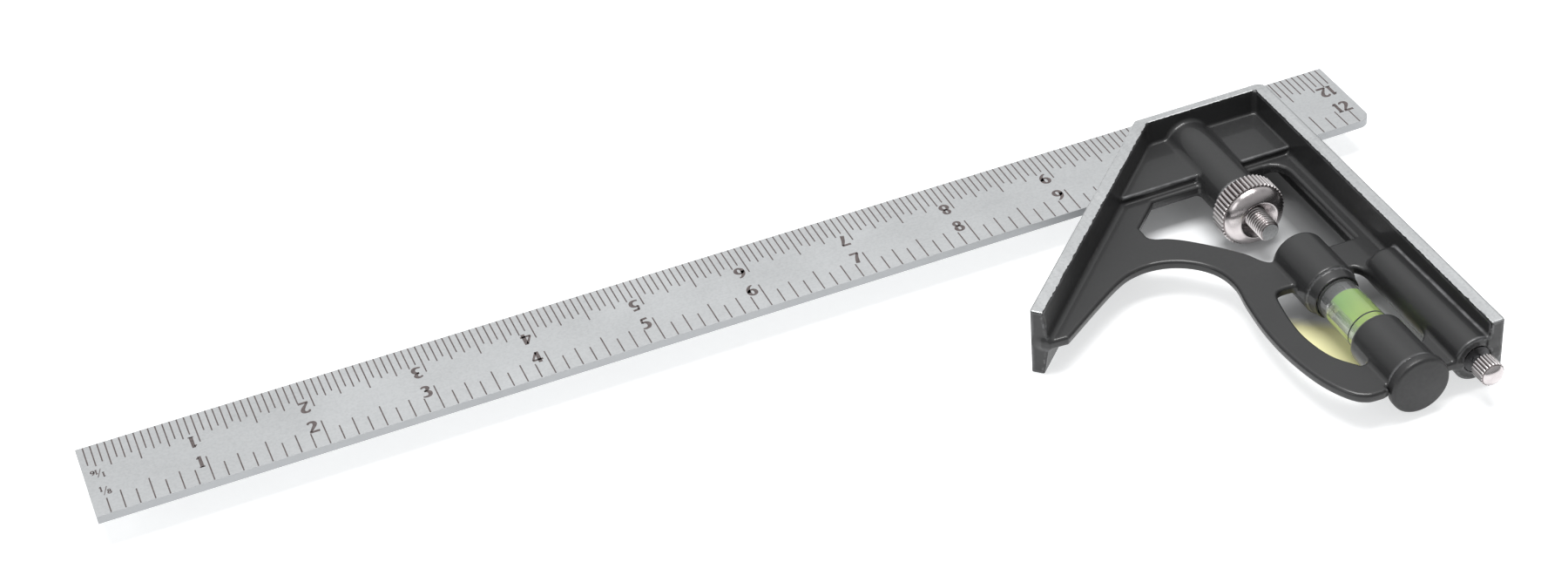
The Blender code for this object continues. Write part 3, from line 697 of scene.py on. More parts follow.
def build_head():
    h = 0.38
    x0, x1, y0, y1 = 43.5, 133.5, -53.5, 53.5
    xs = np.arange(x0, x1, h)
    ys = np.arange(y0, y1, h)
    n = int(math.ceil((HEAD_T / 2 + 0.8) / h))
    zs = ZC + (np.arange(-n, n) + 0.5) * h
    X = xs[:, None, None].astype(np.float32)
    Y = ys[None, :, None].astype(np.float32)
    Z = zs[None, None, :].astype(np.float32)
    web2, hou2 = head_plan(xs[:, None], ys[None, :])
    F = head_field(X, Y, Z, web2[:, :, None], hou2[:, :, None])
    verts, quads = surface_nets(F, np.array([xs[0], ys[0], zs[0]]), h)
    del F
    # plan tables for points off the grid
    g = 0.12
    gx = np.arange(x0 - 1, x1 + 1, g)
    gy = np.arange(y0 - 1, y1 + 1, g)
    tw, th = head_plan(gx[:, None].astype(np.float32), gy[None, :].astype(np.float32))

    def field(p):
        w = bilinear(tw, gx[0], gy[0], g, p[:, 0], p[:, 1])
        q = bilinear(th, gx[0], gy[0], g, p[:, 0], p[:, 1])
        return head_field(p[:, 0], p[:, 1], p[:, 2], w, q)

    def gradient(p, e=0.02):
        d = np.zeros_like(p)
        for k in range(3):
            q = p.copy()
            q[:, k] += e
            r = p.copy()
            r[:, k] -= e
            d[:, k] = (field(q) - field(r)) / (2 * e)
        return d

    for _ in range(3):
        d = gradient(verts)
        step = field(verts)[:, None] * d / np.maximum((d * d).sum(1, keepdims=True), 0.25)
        step = np.clip(step, -0.5 * h, 0.5 * h)
        verts = verts - step
    ob = mesh_from("head_casting", verts, quads.astype(np.int32))
    tris = 2 * len(quads)
    mod = ob.modifiers.new("thin", "DECIMATE")
    mod.decimate_type = "COLLAPSE"
    mod.ratio = min(1.0, 185000.0 / tris)
    bpy.context.view_layer.update()
    dg = bpy.context.evaluated_depsgraph_get()
    me = bpy.data.meshes.new_from_object(ob.evaluated_get(dg))
    ob.modifiers.clear()
    old = ob.data
    ob.data = me
    bpy.data.meshes.remove(old)
    me = ob.data
    co = np.zeros(len(me.vertices) * 3, np.float32)
    me.vertices.foreach_get("co", co)
    p = co.reshape(-1, 3).astype(np.float64) * 1000 + np.array([DX, DY, 0.0])
    d = gradient(p, 0.05)
    nrm = d / np.maximum(np.linalg.norm(d, axis=1, keepdims=True), 1e-9)
    # keep the mesh's own normal where the field has a crease
    own = np.zeros(len(me.vertices) * 3, np.float32)
    me.vertices.foreach_get("normal", own)
    own = own.reshape(-1, 3)
    bad = (nrm * own).sum(1) < 0.6
    nrm[bad] = own[bad]
    me.polygons.foreach_set("use_smooth", np.ones(len(me.polygons), dtype=bool))
    me.normals_split_custom_set_from_vertices([tuple(v) for v in nrm])
    # outside edges, where the enamel is worn thin and a painted edge highlight lightens it: the body is thinner there
    # than straight under a face
    thin = field(p - nrm * 0.7) + 0.7
    wear_and_highlight = np.clip((thin - 0.02) / 0.07, 0.0, 1.0) * (thin < 0.33)
    me.attributes.new("edge_wear_and_highlight", "FLOAT", "POINT").data.foreach_set("value", wear_and_highlight.astype(np.float32))
    print("head", len(me.vertices), len(me.polygons))
    return ob


# ----------------------------------------------------------------------- rule
def build_rule():
    z0, z1 = RULE_Z0, RULE_Z1
    x0, x1 = -RULE_L / 2, RULE_L / 2
    y0, y1 = RULE_TOP - RULE_W, RULE_TOP
    R, seg = 3.0, 16

    def outline(inset):
        r = R - inset
        pts = [(x0 + inset, y1 - inset), (x0 + inset, y0 + inset)]
        cx, cy = x1 - R, y0 + R
        for k in range(seg + 1):
            a = -math.pi / 2 + (math.pi / 2) * k / seg
            pts.append((cx + r * math.cos(a), cy + r * math.sin(a)))
        pts.append((x1 - inset, y1 - inset))
        return pts
    b = 0.05
    levels = [(z0, b), (z0 + b, 0.0), (z1 - b, 0.0), (z1, b)]
    verts, faces = [], []
    n = len(outline(0.0))
    for z, ins in levels:
        verts += [(x, y, z) for x, y in outline(ins)]
    for i in range(len(levels) - 1):
        for k in range(n):
            j = (k + 1) % n
            faces.append((i * n + k, i * n + j, (i + 1) * n + j, (i + 1) * n + k))
    faces.append(tuple(reversed(range(n))))
    faces.append(tuple(range((len(levels) - 1) * n, len(levels) * n)))
    ob = mesh_from("rule_blade", verts, faces, False)
    # clamp groove on the underside, round bottomed
    yc = (y0 + y1) / 2
    prof = [(-1.7, -1.0), (1.7, -1.0), (1.7, 0.72), (1.52, 0.9), (-1.52, 0.9), (-1.7, 0.72)]
    v2 = [(x0 - 2, yc + a, z0 + c) for a, c in prof] + [(x1 + 2, yc + a, z0 + c) for a, c in prof]
    k = len(prof)
    f2 = [tuple(reversed(range(k))), tuple(range(k, 2 * k))]
    f2 += [(i, (i + 1) % k, k + (i + 1) % k, k + i) for i in range(k)]
    cut = mesh_from("groove_cut", v2, f2, False)
    for o in (ob, cut):
        bm = bmesh.new()
        bm.from_mesh(o.data)
        bmesh.ops.recalc_face_normals(bm, faces=bm.faces)
        bm.to_mesh(o.data)
        bm.free()
    mod = ob.modifiers.new("groove", "BOOLEAN")
    mod.operation, mod.solver, mod.object = "DIFFERENCE", "EXACT", cut
    bpy.context.view_layer.update()
    me = bpy.data.meshes.new_from_object(ob.evaluated_get(bpy.context.evaluated_depsgraph_get()))
    ob.modifiers.clear()
    ob.data = me
    bpy.data.objects.remove(cut, do_unlink=True)
    return ob


TICK_Z = 0.02
PEN = 1.22


def slab_from_quads(verts, faces, strips):
    """Adds a closed thin slab for each strip of (left, right) points on the rule's face."""
    for strip, closed in strips:
        z0, z1 = RULE_Z1 - 0.01, RULE_Z1 + TICK_Z
        base = len(verts)
        n = len(strip)
        for (lx, ly), (rx, ry) in strip:
            verts += [(lx, ly, z0), (rx, ry, z0), (rx, ry, z1), (lx, ly, z1)]
        for i in range(n if closed else n - 1):
            a, b = base + 4 * i, base + 4 * ((i + 1) % n)
            for k in range(4):
                j = (k + 1) % 4
                faces.append((a + k, b + k, b + j, a + j))
        if not closed:
            faces.append((base, base + 1, base + 2, base + 3))
            e = base + 4 * (n - 1)
            faces.append((e + 3, e + 2, e + 1, e))


def stroke(points, widths, per=6):
    """Left and right outline of a pen stroke with changing width."""
    c = smooth_path([(*p, w) for p, w in zip(points, widths)], per if len(points) > 2 else 1)
    c = np.array(c)
    c[:, 2] = c[:, 2] * PEN + 0.01
    d = np.gradient(c[:, :2], axis=0)
    d /= np.maximum(np.linalg.norm(d, axis=1, keepdims=True), 1e-9)
    nrm = np.stack([-d[:, 1], d[:, 0]], 1)
    left = c[:, :2] + nrm * c[:, 2:3] / 2
    right = c[:, :2] - nrm * c[:, 2:3] / 2
    return list(zip(map(tuple, left), map(tuple, right))), False


def loop(cx, cy, rx, ry, wide, thin, n=28):
    """A closed bowl, heavier on its sides than at top and bottom."""
    out = []
    for k in range(n):
        a = 2 * math.pi * k / n
        ca, sa = math.cos(a), math.sin(a)
        w = (thin + (wide - thin) * ca * ca) * PEN + 0.01
        nx, ny = ca / rx, sa / ry
        ln = math.hypot(nx, ny)
        nx, ny = nx / ln, ny / ln
        px, py = cx + rx * ca, cy + ry * sa
        out.append(((px + nx * w / 2, py + ny * w / 2), (px - nx * w / 2, py - ny * w / 2)))
    return out, True


def turn_strips(strips, w, h):
    """Half turn of a glyph inside its box."""
    return [([((w - a[0], h - a[1]), (w - b[0], h - b[1])) for a, b in s], c) for s, c in strips]


def digit(ch):
    """(strips, width) of a generic numeral, 1 unit tall."""
    if ch == "1":
        return [stroke([(0.18, 0.0), (0.18, 1.0)], [0.17, 0.15]),
                stroke([(0.0, 0.80), (0.12, 0.90)], [0.06, 0.11]),
                stroke([(0.02, 0.03), (0.34, 0.03)], [0.06, 0.06])], 0.30
    if ch == "2":
        return [stroke([(0.05, 0.79), (0.13, 0.91), (0.28, 0.945), (0.42, 0.87), (0.455, 0.72), (0.37, 0.52),
                        (0.20, 0.27), (0.08, 0.10)], [0.09, 0.12, 0.13, 0.18, 0.20, 0.17, 0.12, 0.10]),
                stroke([(0.02, 0.065), (0.60, 0.065)], [0.13, 0.14])], 0.60
    if ch == "3":
        return [stroke([(0.04, 0.86), (0.20, 0.95), (0.36, 0.90), (0.42, 0.77), (0.33, 0.62), (0.17, 0.545)],
                       [0.08, 0.12, 0.16, 0.19, 0.14, 0.08]),
                stroke([(0.17, 0.545), (0.36, 0.50), (0.46, 0.33), (0.40, 0.13), (0.22, 0.05), (0.0, 0.09)],
                       [0.08, 0.15, 0.20, 0.18, 0.12, 0.09])], 0.56
    if ch == "4":
        return [stroke([(0.42, 0.0), (0.42, 1.0)], [0.18, 0.18]),
                stroke([(0.38, 0.96), (0.04, 0.29)], [0.11, 0.10]),
                stroke([(0.0, 0.26), (0.62, 0.26)], [0.12, 0.12])], 0.62
    if ch == "5":
        return [stroke([(0.13, 0.92), (0.50, 0.96)], [0.13, 0.13]),
                stroke([(0.16, 0.94), (0.11, 0.56)], [0.11, 0.10]),
                stroke([(0.10, 0.57), (0.27, 0.61), (0.42, 0.50), (0.46, 0.32), (0.38, 0.13), (0.20, 0.05),
                        (0.0, 0.07)], [0.08, 0.13, 0.18, 0.20, 0.17, 0.12, 0.09])], 0.56
    if ch == "6":
        return [stroke([(0.47, 0.95), (0.32, 0.90), (0.17, 0.72), (0.10, 0.50), (0.10, 0.32)],
                       [0.07, 0.11, 0.16, 0.19, 0.19]),
                loop(0.30, 0.31, 0.205, 0.255, 0.18, 0.11)], 0.60
    if ch == "7":
        return [stroke([(0.0, 0.93), (0.54, 0.93)], [0.13, 0.13]),
                stroke([(0.50, 0.92), (0.33, 0.52), (0.20, 0.0)], [0.11, 0.16, 0.20])], 0.56
    if ch == "8":
        return [loop(0.29, 0.75, 0.165, 0.20, 0.15, 0.10), loop(0.29, 0.29, 0.205, 0.235, 0.18, 0.11)], 0.58
    if ch == "9":
        s, w = digit("6")
        return turn_strips(s, w, 1.0), w
    return [loop(0.29, 0.5, 0.215, 0.445, 0.19, 0.11)], 0.58


def build_scale():
    """Ticks, numbers and fractions, as thin raised ink on the rule's face."""
    verts, faces = [], []
    x0 = -RULE_L / 2
    half = 0.15
    top, bot = RULE_TOP - 0.18, RULE_TOP - RULE_W + 0.18

    def bar(x, ya, yb):
        slab_from_quads(verts, faces, [([((x - half, ya), (x + half, ya)), ((x - half, yb), (x + half, yb))], False)])
    for k in range(1, 192):
        x = x0 + k * 25.4 / 16
        ln = 10.0 if k % 16 == 0 else 9.6 if k % 8 == 0 else 8.5 if k % 4 == 0 else 7.5 if k % 2 == 0 else 6.55
        bar(x, top, RULE_TOP - ln)
    for k in range(1, 96):
        x = x0 + k * 25.4 / 8
        ln = 8.6 if k % 8 == 0 else 7.3 if k % 4 == 0 else 6.4 if k % 2 == 0 else 5.2
        bar(x, bot, RULE_TOP - RULE_W + ln)

    def text(chars, size, right, base, flip=False, gap=0.10):
        """Characters ending at x = right, standing on base; flip turns them half round in their box."""
        glyphs, w = [], 0.0
        for ch in chars:
            s, gw = digit(ch)
            glyphs.append((s, w))
            w += gw + gap
        w -= gap
        for s, off in glyphs:
            moved = [([((a[0] + off, a[1]), (b[0] + off, b[1])) for a, b in st], c) for st, c in s]
            if flip:
                moved = turn_strips(moved, w, 1.0)
            placed = [([((right - (w - a[0]) * size, base + a[1] * size),
                         (right - (w - b[0]) * size, base + b[1] * size)) for a, b in st], c) for st, c in moved]
            slab_from_quads(verts, faces, placed)
    size = 3.85
    for n in range(1, 13):
        x = x0 + n * 25.4
        gap = 0.95 if n < 12 else 1.75
        text(str(n), size, x - gap, 41.40)
        text(str(n), size, x - gap, 48.60, flip=True)

    def fraction(top_ch, bottom_ch, cx, cy, flip):
        """Small fraction drawn about (cx, cy)."""
        k, parts = 1.7, []
        s, _ = digit(top_ch)
        parts += [([((a[0] * k - 1.35, a[1] * k + 0.1), (b[0] * k - 1.35, b[1] * k + 0.1)) for a, b in st], c)
                  for st, c in s]
        parts.append(stroke([(-0.75, -1.25), (0.25, 1.45)], [0.13, 0.16]))
        off = 0.05
        for ch in bottom_ch:
            s, gw = digit(ch)
            kk = 1.6
            parts += [([((a[0] * kk + off, a[1] * kk - 1.25), (b[0] * kk + off, b[1] * kk - 1.25)) for a, b in st], c)
                      for st, c in s]
            off += gw * kk + 0.12
        sg = -1.0 if flip else 1.0
        parts = [([((cx + sg * a[0], cy + sg * a[1]), (cx + sg * b[0], cy + sg * b[1])) for a, b in st], c)
                 for st, c in parts]
        slab_from_quads(verts, faces, parts)
    fraction("1", "16", -149.3, 50.0, True)
    fraction("1", "8", -148.75, 43.5, False)
    ob = mesh_from("rule_scale", verts, faces, False)
    bm = bmesh.new()
    bm.from_mesh(ob.data)
    bmesh.ops.recalc_face_normals(bm, faces=bm.faces)
    bm.to_mesh(ob.data)
    bm.free()
    return ob


# ----------------------------------------------------------------- clamp parts
NUT_TOP, NUT_LEN, NUT_R = 22.8, 8.6, 8.0


def build_nut():
    s0 = NUT_TOP
    prof = [(s0, 2.62), (s0, 5.25), (s0 - 0.12, 5.4), (s0 - 0.9, 5.4), (s0 - 1.0, 5.5), (s0 - 1.0, 7.0),
            (s0 - 1.12, 7.25), (s0 - 1.5, 7.85), (s0 - 1.62, 8.0)]
    prof += [(s0 - 1.62 - k * (4.2 / 10), 8.0) for k in range(1, 11)]
    prof += [(s0 - 5.9, 7.92), (s0 - 6.0, 7.62)]
    dome = [(6.1, 7.42), (6.5, 7.34), (6.9, 7.16), (7.3, 6.88), (7.65, 6.52), (7.95, 6.1), (8.2, 5.65), (8.4, 5.25),
            (8.53, 4.95), (8.6, 4.75)]
    prof += [(s0 - a, b) for a, b in dome]
    prof += [(s0 - 8.59, 4.6), (s0 - 8.45, 4.35), (s0 - 7.9, 3.8), (s0 - 7.2, 3.1), (s0 - 6.9, 2.62)]
    ob = ring_profile_knurled("clamp_nut_body", prof, CLAMP_X, 46)
    return ob


def ring_profile_knurled(name, profile, x, teeth):
    """Ring from a closed (y, r) profile, with straight knurls on its widest band."""
    steps = teeth * 10
    ang = np.arange(steps) * 2 * math.pi / steps
    f = knurl(NUT_R, 0.55, teeth, 7.6, 0.30)
    verts = []
    for y, r in profile:
        rr = f(0, y, ang, r) if r > 7.63 else np.full(steps, r)
        verts.append(np.stack([x + rr * np.cos(ang), np.full(steps, y), ZC + rr * np.sin(ang)], 1))
    n = len(profile)
    v = np.concatenate(verts)
    faces = []
    for i in range(n):
        a, b = i * steps, ((i + 1) % n) * steps
        k = np.arange(steps)
        j = (k + 1) % steps
        faces.append(np.stack([a + k, a + j, b + j, b + k], 1))
    ob = mesh_from(name, v, np.concatenate(faces))
    bm = bmesh.new()
    bm.from_mesh(ob.data)
    bmesh.ops.recalc_face_normals(bm, faces=bm.faces)
    bm.to_mesh(ob.data)
    bm.free()
    sharp_by_angle(ob, 32)
    return ob


def build_thread():
    """The bolt's threaded shank, to its sheared end."""
    y_end, y_top, pitch, R = 9.2, 25.8, 0.8, 2.5
    steps = 56
    ang = np.arange(steps) * 2 * math.pi / steps
    rows = int((y_top - y_end) / 0.045)
    verts = []
    ys = np.linspace(y_end, y_top, rows)
    for y in ys:
        ph = (y / pitch - ang / (2 * math.pi)) % 1.0
        g = np.clip((np.abs(ph - 0.5) * 2 - 0.14) / 0.66, 0, 1)
        r = R - 0.47 * g
        if y > 23.5:
            r = r * 0 + R
        lim = 2.02 + (y - y_end) * 1.1
        r = np.minimum(r, lim)
        verts.append(np.stack([CLAMP_X + r * np.cos(ang), np.full(steps, y), ZC + r * np.sin(ang)], 1))
    v = np.concatenate(verts)
    faces = []
    for i in range(rows - 1):
        k = np.arange(steps)
        j = (k + 1) % steps
        faces.append(np.stack([i * steps + k, (i + 1) * steps + k, (i + 1) * steps + j, i * steps + j], 1))
    side = np.concatenate(faces)
    # end caps as rings of quads and fans
    cap_faces = []
    verts2 = [v]
    base = len(v)
    count = base
    for row, sign in ((0, 1), (rows - 1, -1)):
        ring = np.arange(steps) + row * steps
        y = ys[row]
        prev = ring
        for f in (0.75, 0.45):
            rr = 2.02 * f if row == 0 else R * f
            bulge = 0.05 * (1 - f) if row == 0 else 0.0
            verts2.append(np.stack([CLAMP_X + rr * np.cos(ang), np.full(steps, y - bulge), ZC + rr * np.sin(ang)], 1))
            cur = np.arange(steps) + count
            count += steps
            for k in range(steps):
                j = (k + 1) % steps
                cap_faces.append((prev[k], prev[j], cur[j], cur[k]))
            prev = cur
        verts2.append(np.array([[CLAMP_X, y - (0.05 if row == 0 else 0.0), ZC]]))
        c = count
        count += 1
        for k in range(steps):
            cap_faces.append((prev[k], prev[(k + 1) % steps], c))
    allv = np.concatenate(verts2)
    fl = [tuple(int(i) for i in f) for f in side] + [tuple(int(i) for i in f) for f in cap_faces]
    ob = mesh_from("bolt_thread", allv, fl)
    bm = bmesh.new()
    bm.from_mesh(ob.data)
    bmesh.ops.recalc_face_normals(bm, faces=bm.faces)
    bm.to_mesh(ob.data)
    bm.free()
    sharp_by_angle(ob, 40)
    return ob


def build_bolt_head():
    """The half round head above the shank, kept from the solid."""
    src = NODES["clamp_bolt"]
    bm = bmesh.new()
    bm.from_mesh(src.data)
    bmesh.ops.remove_doubles(bm, verts=bm.verts, dist=1e-7)
    cut = (25.8 - DY) * MM
    r = bmesh.ops.bisect_plane(bm, geom=bm.verts[:] + bm.edges[:] + bm.faces[:], plane_co=(0, cut, 0),
                               plane_no=(0, 1, 0), clear_inner=True)
    edges = [e for e in r["geom_cut"] if isinstance(e, bmesh.types.BMEdge)]
    bmesh.ops.contextual_create(bm, geom=edges)
    bmesh.ops.recalc_face_normals(bm, faces=bm.faces)
    me = bpy.data.meshes.new("bolt_head")
    bm.to_mesh(me)
    bm.free()
    ob = bpy.data.objects.new("bolt_head", me)
    bpy.context.scene.collection.objects.link(ob)
    for p in me.polygons:
        p.use_smooth = True
    sharp_by_angle(ob, 30)
    return ob


# ------------------------------------------------------------------ vial parts
VIAL_R, VIAL_IN_R = 4.9, 2.9
VIAL_TOP, VIAL_END = -5.4, -44.4


def build_vial():
    steps = 128
    prof = [(VIAL_END, VIAL_R), (VIAL_END, VIAL_IN_R), (VIAL_TOP - 5.6, VIAL_IN_R), (VIAL_TOP - 4.8, 2.6),
            (VIAL_TOP - 4.3, 2.0), (VIAL_TOP - 4.05, 0.9), (VIAL_TOP - 4.0, 0.0)]
    outer = [(VIAL_TOP, 0.0), (VIAL_TOP, VIAL_R - 0.5), (VIAL_TOP - 0.15, VIAL_R - 0.15), (VIAL_TOP - 0.5, VIAL_R),
             (VIAL_END + 0.1, VIAL_R)]
    tube = turned("vial_acrylic", outer + prof, VIAL_X, steps)
    bm = bmesh.new()
    bm.from_mesh(tube.data)
    bmesh.ops.recalc_face_normals(bm, faces=bm.faces)
    bm.to_mesh(tube.data)
    bm.free()
    sharp_by_angle(tube, 35)
    r = VIAL_IN_R + 0.015
    top = -21.2
    liq = turned("vial_spirit", [(top - 1.15, 0.0), (top - 1.12, r * 0.25), (top - 1.0, r * 0.5), (top - 0.7, r * 0.78),
                                 (top - 0.3, r * 0.94), (top, r), (-30.0, r), (-41.4, r), (-41.4, 0.0)],
                 VIAL_X, steps)
    sharp_by_angle(liq, 40)
    rings = []
    for i, y in enumerate((-18.95, -31.1)):
        w = 0.2
        rings.append(ring_body(f"vial_line_{i + 1}", [(y - w, VIAL_R - 0.02), (y + w, VIAL_R - 0.02),
                                                     (y + w * 0.8, VIAL_R + 0.035), (y - w * 0.8, VIAL_R + 0.035)],
                               VIAL_X, steps))
    return tube, liq, rings


def build_cap():
    y = -50.05
    prof = [(-44.7, 0.0), (-44.7, 4.6), (-45.1, 4.9), (y, 4.9), (y, 6.72), (y - 0.12, 6.86), (y - 0.4, 6.9),
            (y - 1.5, 6.9), (y - 1.9, 6.84), (y - 2.15, 6.66), (y - 2.33, 6.38), (y - 2.4, 6.05), (y - 2.4, 0.0)]
    ob = turned("vial_end_cap", prof, VIAL_X, 128)
    sharp_by_angle(ob, 50)
    return ob


# --------------------------------------------------------------- scriber parts
def build_knob():
    a, b, R = -51.4, -57.2, 2.85
    prof = [(a, 1.22), (a, 1.8), (a - 0.1, 1.9), (a - 0.45, 1.9), (a - 0.52, 2.0), (a - 0.52, 2.35), (a - 0.85, R)]
    prof += [(a - 0.85 - k * 0.5, R) for k in range(1, 8)]
    prof += [(b + 1.3, R - 0.05), (b + 1.22, R - 0.30), (b + 0.95, R - 0.46), (b + 0.66, R - 0.74), (b + 0.40, R - 1.12),
             (b + 0.19, R - 1.58), (b + 0.06, R - 2.1), (b, 0.0)]
    teeth = 22
    steps = teeth * 10
    f = knurl(R, 0.34, teeth, R - 0.2, 0.34)
    hole_end = b + 2.9
    body = [(hole_end, 0.0), (hole_end, 1.22)] + prof
    ob = turned("scriber_grip", body, SCRIBER_X, steps,
                radius=lambda i, y, ang, r: f(i, y, ang, r))
    sharp_by_angle(ob, 30)
    return ob


def build_needle():
    prof = [(-15.0, 0.03), (-15.15, 0.09), (-24.0, 1.2), (-54.2, 1.2)]
    ob = turned("scriber_pin", prof, SCRIBER_X, 64)
    sharp_by_angle(ob, 40)
    return ob


# ---------------------------------------------------------------------- build
enamel = head_material()
steel = rule_material()
ink = ink_material()
nickel = nickel_material("polished_nickel", CLAMP_X, 7.92, 7.5)
nickel_grip = nickel_material("polished_nickel_grip", SCRIBER_X, 2.8, 2.53)
zinc = zinc_material()
thread_zinc = nickel_material("plated_thread", CLAMP_X, 2.42, 2.1)
line_black = line_material()
cut_end = cut_end_material()
acrylic = clear_material("clear_acrylic", (0.90, 0.915, 0.93), 1.49, 0.065)
spirit = liquid_material()
cap_black = cap_material()
spring_steel = dark_steel_material("spring_wire_steel", 0.28, 0.38, 0.32)
bush_steel = dark_steel_material("oiled_bush_steel", 0.05, 0.09, 0.42)
pin_steel = dark_steel_material("hardened_pin_steel", 0.48, 0.60, 0.24)


def give(ob, mat, body, slot, *replaced):
    ob.data.materials.clear()
    ob.data.materials.append(mat)
    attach(ob, body)
    if replaced:
        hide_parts(*replaced)
    return ob


head = give(build_head(), enamel, "head", "head_enamel", "head")
blade = give(build_rule(), steel, "rule", "rule_steel", "rule")
scale = give(build_scale(), ink, "rule", "rule_steel")
nut = give(build_nut(), nickel, "nut", "nickel", "clamp_nut")
bolt_head = give(build_bolt_head(), zinc, "bolt", "bolt_steel", "clamp_bolt")
thread = give(build_thread(), thread_zinc, "bolt", "bolt_steel", "clamp_bolt")
thread.data.materials.append(cut_end)
for p in thread.data.polygons:
    if p.normal.y < -0.9 and p.center.y < (9.3 - DY) * MM:
        p.material_index = 1
tube, liquid, lines = build_vial()
give(tube, acrylic, "head", "acrylic", "vial_tube")
give(liquid, spirit, "head", "vial_liquid", "vial_liquid")
for r in lines:
    give(r, line_black, "head", "acrylic")
give(build_cap(), cap_black, "head", "cap_plastic", "vial_cap")
give(build_knob(), nickel_grip, "scriber", "nickel", "scriber_knob")
give(build_needle(), pin_steel, "scriber", "scriber_steel", "scriber_needle")
for name, mat in (("clamp_spring", spring_steel), ("scriber_bush", bush_steel), ("vial_plug", acrylic)):
    o = NODES[name]
    o.data.materials.clear()
    o.data.materials.append(mat)

# ---------------------------------------------------------------------- stage
floor_mat = Nodes("floor_paper")
fn = floor_mat.noise(floor_mat.object_coord(), 30.0, 3.0)
floor_mat.set(Base_Color=floor_mat.ramp(fn, [(0.3, (0.55, 0.552, 0.555)), (0.7, (0.565, 0.567, 0.57))]), Roughness=0.9,
              Specular_IOR_Level=0.1)
floor_mat.shader.inputs["Emission Color"].default_value = (0.985, 0.995, 1.0, 1.0)
floor_mat.shader.inputs["Emission Strength"].default_value = 0.66
bpy.ops.mesh.primitive_plane_add(size=8.0, location=(0, 0, -0.0002))
floor = bpy.context.object
floor.name = "floor"
floor.data.materials.append(floor_mat.mat)

world = bpy.data.worlds.new("studio")
bpy.context.scene.world = world
world.use_nodes = True
wt = world.node_tree
bg = wt.nodes["Background"]
tc = wt.nodes.new("ShaderNodeTexCoord")
sp = wt.nodes.new("ShaderNodeSeparateXYZ")
wt.links.new(tc.outputs["Generated"], sp.inputs[0])


def world_ramp(socket, lo, hi, a, b):
    m = wt.nodes.new("ShaderNodeMapRange")
    m.interpolation_type = "SMOOTHSTEP"
    for k, v in zip(("From Min", "From Max", "To Min", "To Max"), (lo, hi, a, b)):
        m.inputs[k].default_value = v
    wt.links.new(socket, m.inputs["Value"])
    return m.outputs["Result"]


away = world_ramp(sp.outputs["Y"], -0.25, 0.55, 0.46, 0.76)
height = world_ramp(sp.outputs["Z"], 0.0, 0.42, 0.30, 1.0)
level = wt.nodes.new("ShaderNodeMath")
level.operation = "MULTIPLY"
wt.links.new(away, level.inputs[0])
wt.links.new(height, level.inputs[1])
bg.inputs["Color"].default_value = (0.985, 0.995, 1.0, 1.0)
wt.links.new(level.outputs[0], bg.inputs["Strength"])


def area(name, loc, target, size, power, color=(1, 1, 1), size_y=None):
    data = bpy.data.lights.new(name, "AREA")
    data.shape = "RECTANGLE"
    data.size = size
    data.size_y = size_y or size
    data.energy = power
    data.color = color
    ob = bpy.data.objects.new(name, data)
    bpy.context.scene.collection.objects.link(ob)
    ob.location = loc
    ob.rotation_euler = (Vector(target) - Vector(loc)).to_track_quat("-Z", "Y").to_euler()
    return ob


key = area("key_above", (0.06, 0.06, 1.10), (0.06, 0.02, 0.0), 0.75, 15.0, (1.0, 0.995, 0.99), 0.55)
area("fill_left", (-1.3, -0.3, 0.9), (0.05, 0.0, 0.0), 0.8, 3.0, (0.99, 0.995, 1.0), 0.8)

cam_data = bpy.data.cameras.new("camera")
cam_data.lens = 66.489
cam_data.sensor_width = 36.0
cam_data.clip_start = 0.01
cam = bpy.data.objects.new("camera", cam_data)
bpy.context.scene.collection.objects.link(cam)
cam.location = (-0.1587271, -0.44794083, 0.40241807)
cam.rotation_euler = (0.9145247766, 0.0804330228, -0.3852164546)
bpy.context.scene.camera = cam

# Where the floor shows through the casting's openings, grey cards carry a painted shadow, darker toward the walls, and
# on one side a painted yellow pool of light cast through the vial.
cards_mat = Nodes("floor_painted_shadow_and_light")
cs = cards_mat.add("ShaderNodeSeparateXYZ")
cards_mat.link(cards_mat.object_coord(), cs.inputs[0])
cn = cards_mat.noise(cards_mat.object_coord(), 60.0, 3.0)
grey = cards_mat.ramp(cn, [(0.3, (0.78, 0.792, 0.803)), (0.7, (0.81, 0.822, 0.833))])
# painted shadow: darker toward the walls, by position across and along the openings
across = cards_mat.remap(cs.outputs[0], (86.0 - DX) * MM, (130.0 - DX) * MM, 0.0, 1.0)
across = cards_mat.ramp(across, [(k, (v, v, v)) for k, v in ((0.0, 1.0), (0.27, 0.88), (0.41, 0.667), (0.70, 0.62),
                                                           (0.82, 0.15), (0.90, 0.16), (0.98, 0.24))])
lower = cards_mat.remap(cs.outputs[1], (2.0 - DY) * MM, (-1.0 - DY) * MM, 0.0, 1.0)
across = cards_mat.math("ADD", across, cards_mat.math("MULTIPLY", lower, cards_mat.math("SUBTRACT", 0.667, across)))
along = cards_mat.remap(cs.outputs[1], (-20.0 - DY) * MM, (40.0 - DY) * MM, 0.0, 1.0)
along = cards_mat.ramp(along, [(k, (v, v, v)) for k, v in ((0.06, 0.66), (0.125, 0.42), (0.2, 0.6), (0.26, 1.0),
                                                         (0.30, 1.0), (0.36, 0.625))])
painted_shadow = cards_mat.math("MULTIPLY", across, along)
# painted light: a yellow pool of light from the vial on one side
slant = cards_mat.math("ADD", cs.outputs[1], cards_mat.math("MULTIPLY", cs.outputs[0], 0.8))
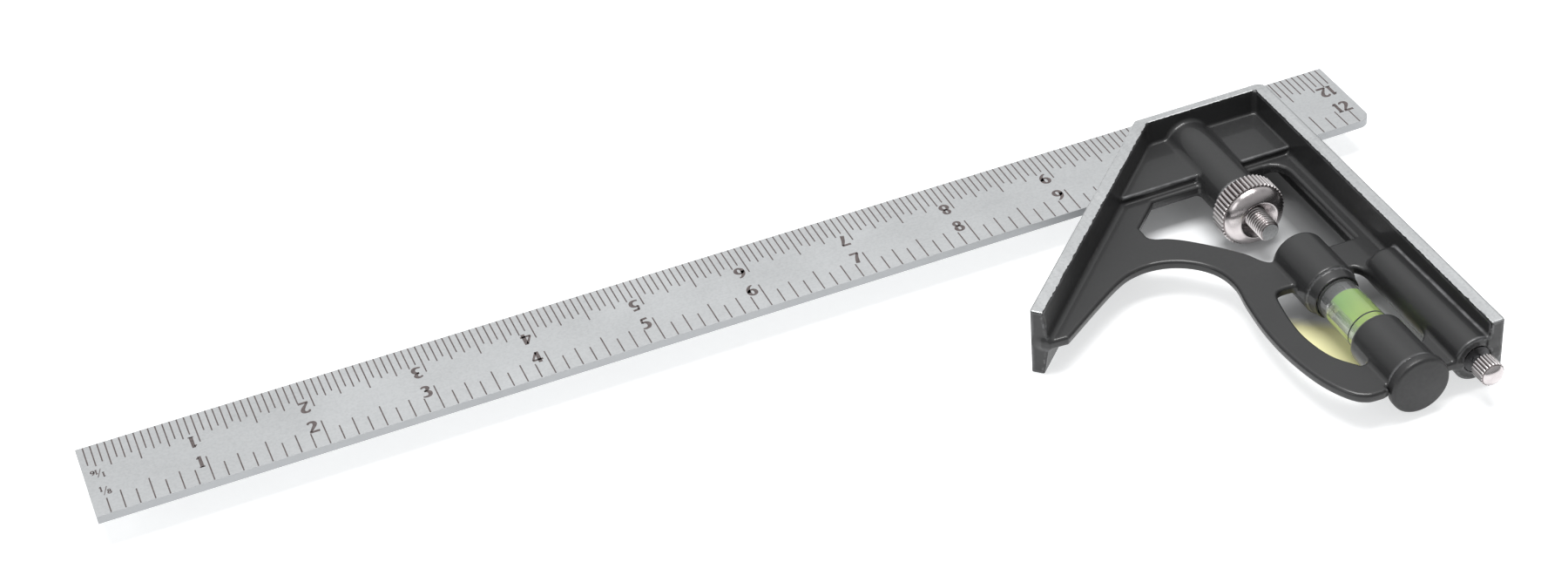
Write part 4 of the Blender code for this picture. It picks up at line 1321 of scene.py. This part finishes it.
down = cards_mat.remap(slant, (73.5 - DY - 0.8 * DX) * MM, (69.5 - DY - 0.8 * DX) * MM, 0.0, 1.0)
left = cards_mat.remap(cs.outputs[0], (118.5 - DX) * MM, (115.0 - DX) * MM, 0.0, 1.0)
painted_vial_light = cards_mat.math("MULTIPLY", down, left)
paper = cards_mat.mix(painted_vial_light, grey, (1.0, 0.96, 0.56))
cards_mat.set(Base_Color=cards_mat.mix(cards_mat.math("MULTIPLY", painted_shadow, 1.6), (0.0, 0.0, 0.0), paper),
              Roughness=0.9, Specular_IOR_Level=0.1)
# painted glow: the cards give off a faint light, yellow in the painted pool
painted_glow = cards_mat.mix(painted_vial_light, (1.47, 1.485, 1.5), (1.5, 1.42, 0.78))
cards_mat.set(Emission_Color=cards_mat.mix(cards_mat.math("MULTIPLY", painted_shadow, 1.6), (0.0, 0.0, 0.0), painted_glow))
cards_mat.shader.inputs["Emission Strength"].default_value = 0.10
cam_mm = np.array(cam.location) * 1000 + np.array([DX, DY, 0.0])


def keep_side(pts, a, b, c):
    """The part of a plan outline where a x + b y stays at or under c."""
    out = []
    for p, q in zip(pts, pts[1:] + pts[:1]):
        u, v = a * p[0] + b * p[1] - c, a * q[0] + b * q[1] - c
        if u <= 0:
            out.append(p)
        if (u < 0) != (v < 0):
            t = u / (u - v)
            out.append(tuple(p[i] + t * (q[i] - p[i]) for i in range(3)))
    return out


# the cards follow the openings' outlines, projected from the camera onto the floor
for k, (outline, grow) in enumerate(((WINDOW, 1.6), (HOLE, 3.2))):
    c = np.mean(np.array(outline), axis=0)
    pts = []
    for px, py in outline:
        d = np.array([px, py]) - c
        q = np.array([*(c + d * (1 + grow / np.linalg.norm(d))), ZC])
        t = (q[2] - 0.0) / (cam_mm[2] - q[2])
        f = q + (q - cam_mm) * t
        pts.append((f[0], f[1], -0.1))
    pts = keep_side(pts, 1.0, 0.0, 130.0)
    pts = keep_side(pts, 0.0, 1.0, 50.0)
    pts = keep_side(pts, -1.0, 1.0, -49.0)
    card = mesh_from(f"floor_card_{k + 1}", pts, [tuple(range(len(pts)))], False)
    card.data.materials.append(cards_mat.mat)
bpy.context.scene.view_settings.view_transform = "Standard"
bpy.context.scene.view_settings.look = "None"
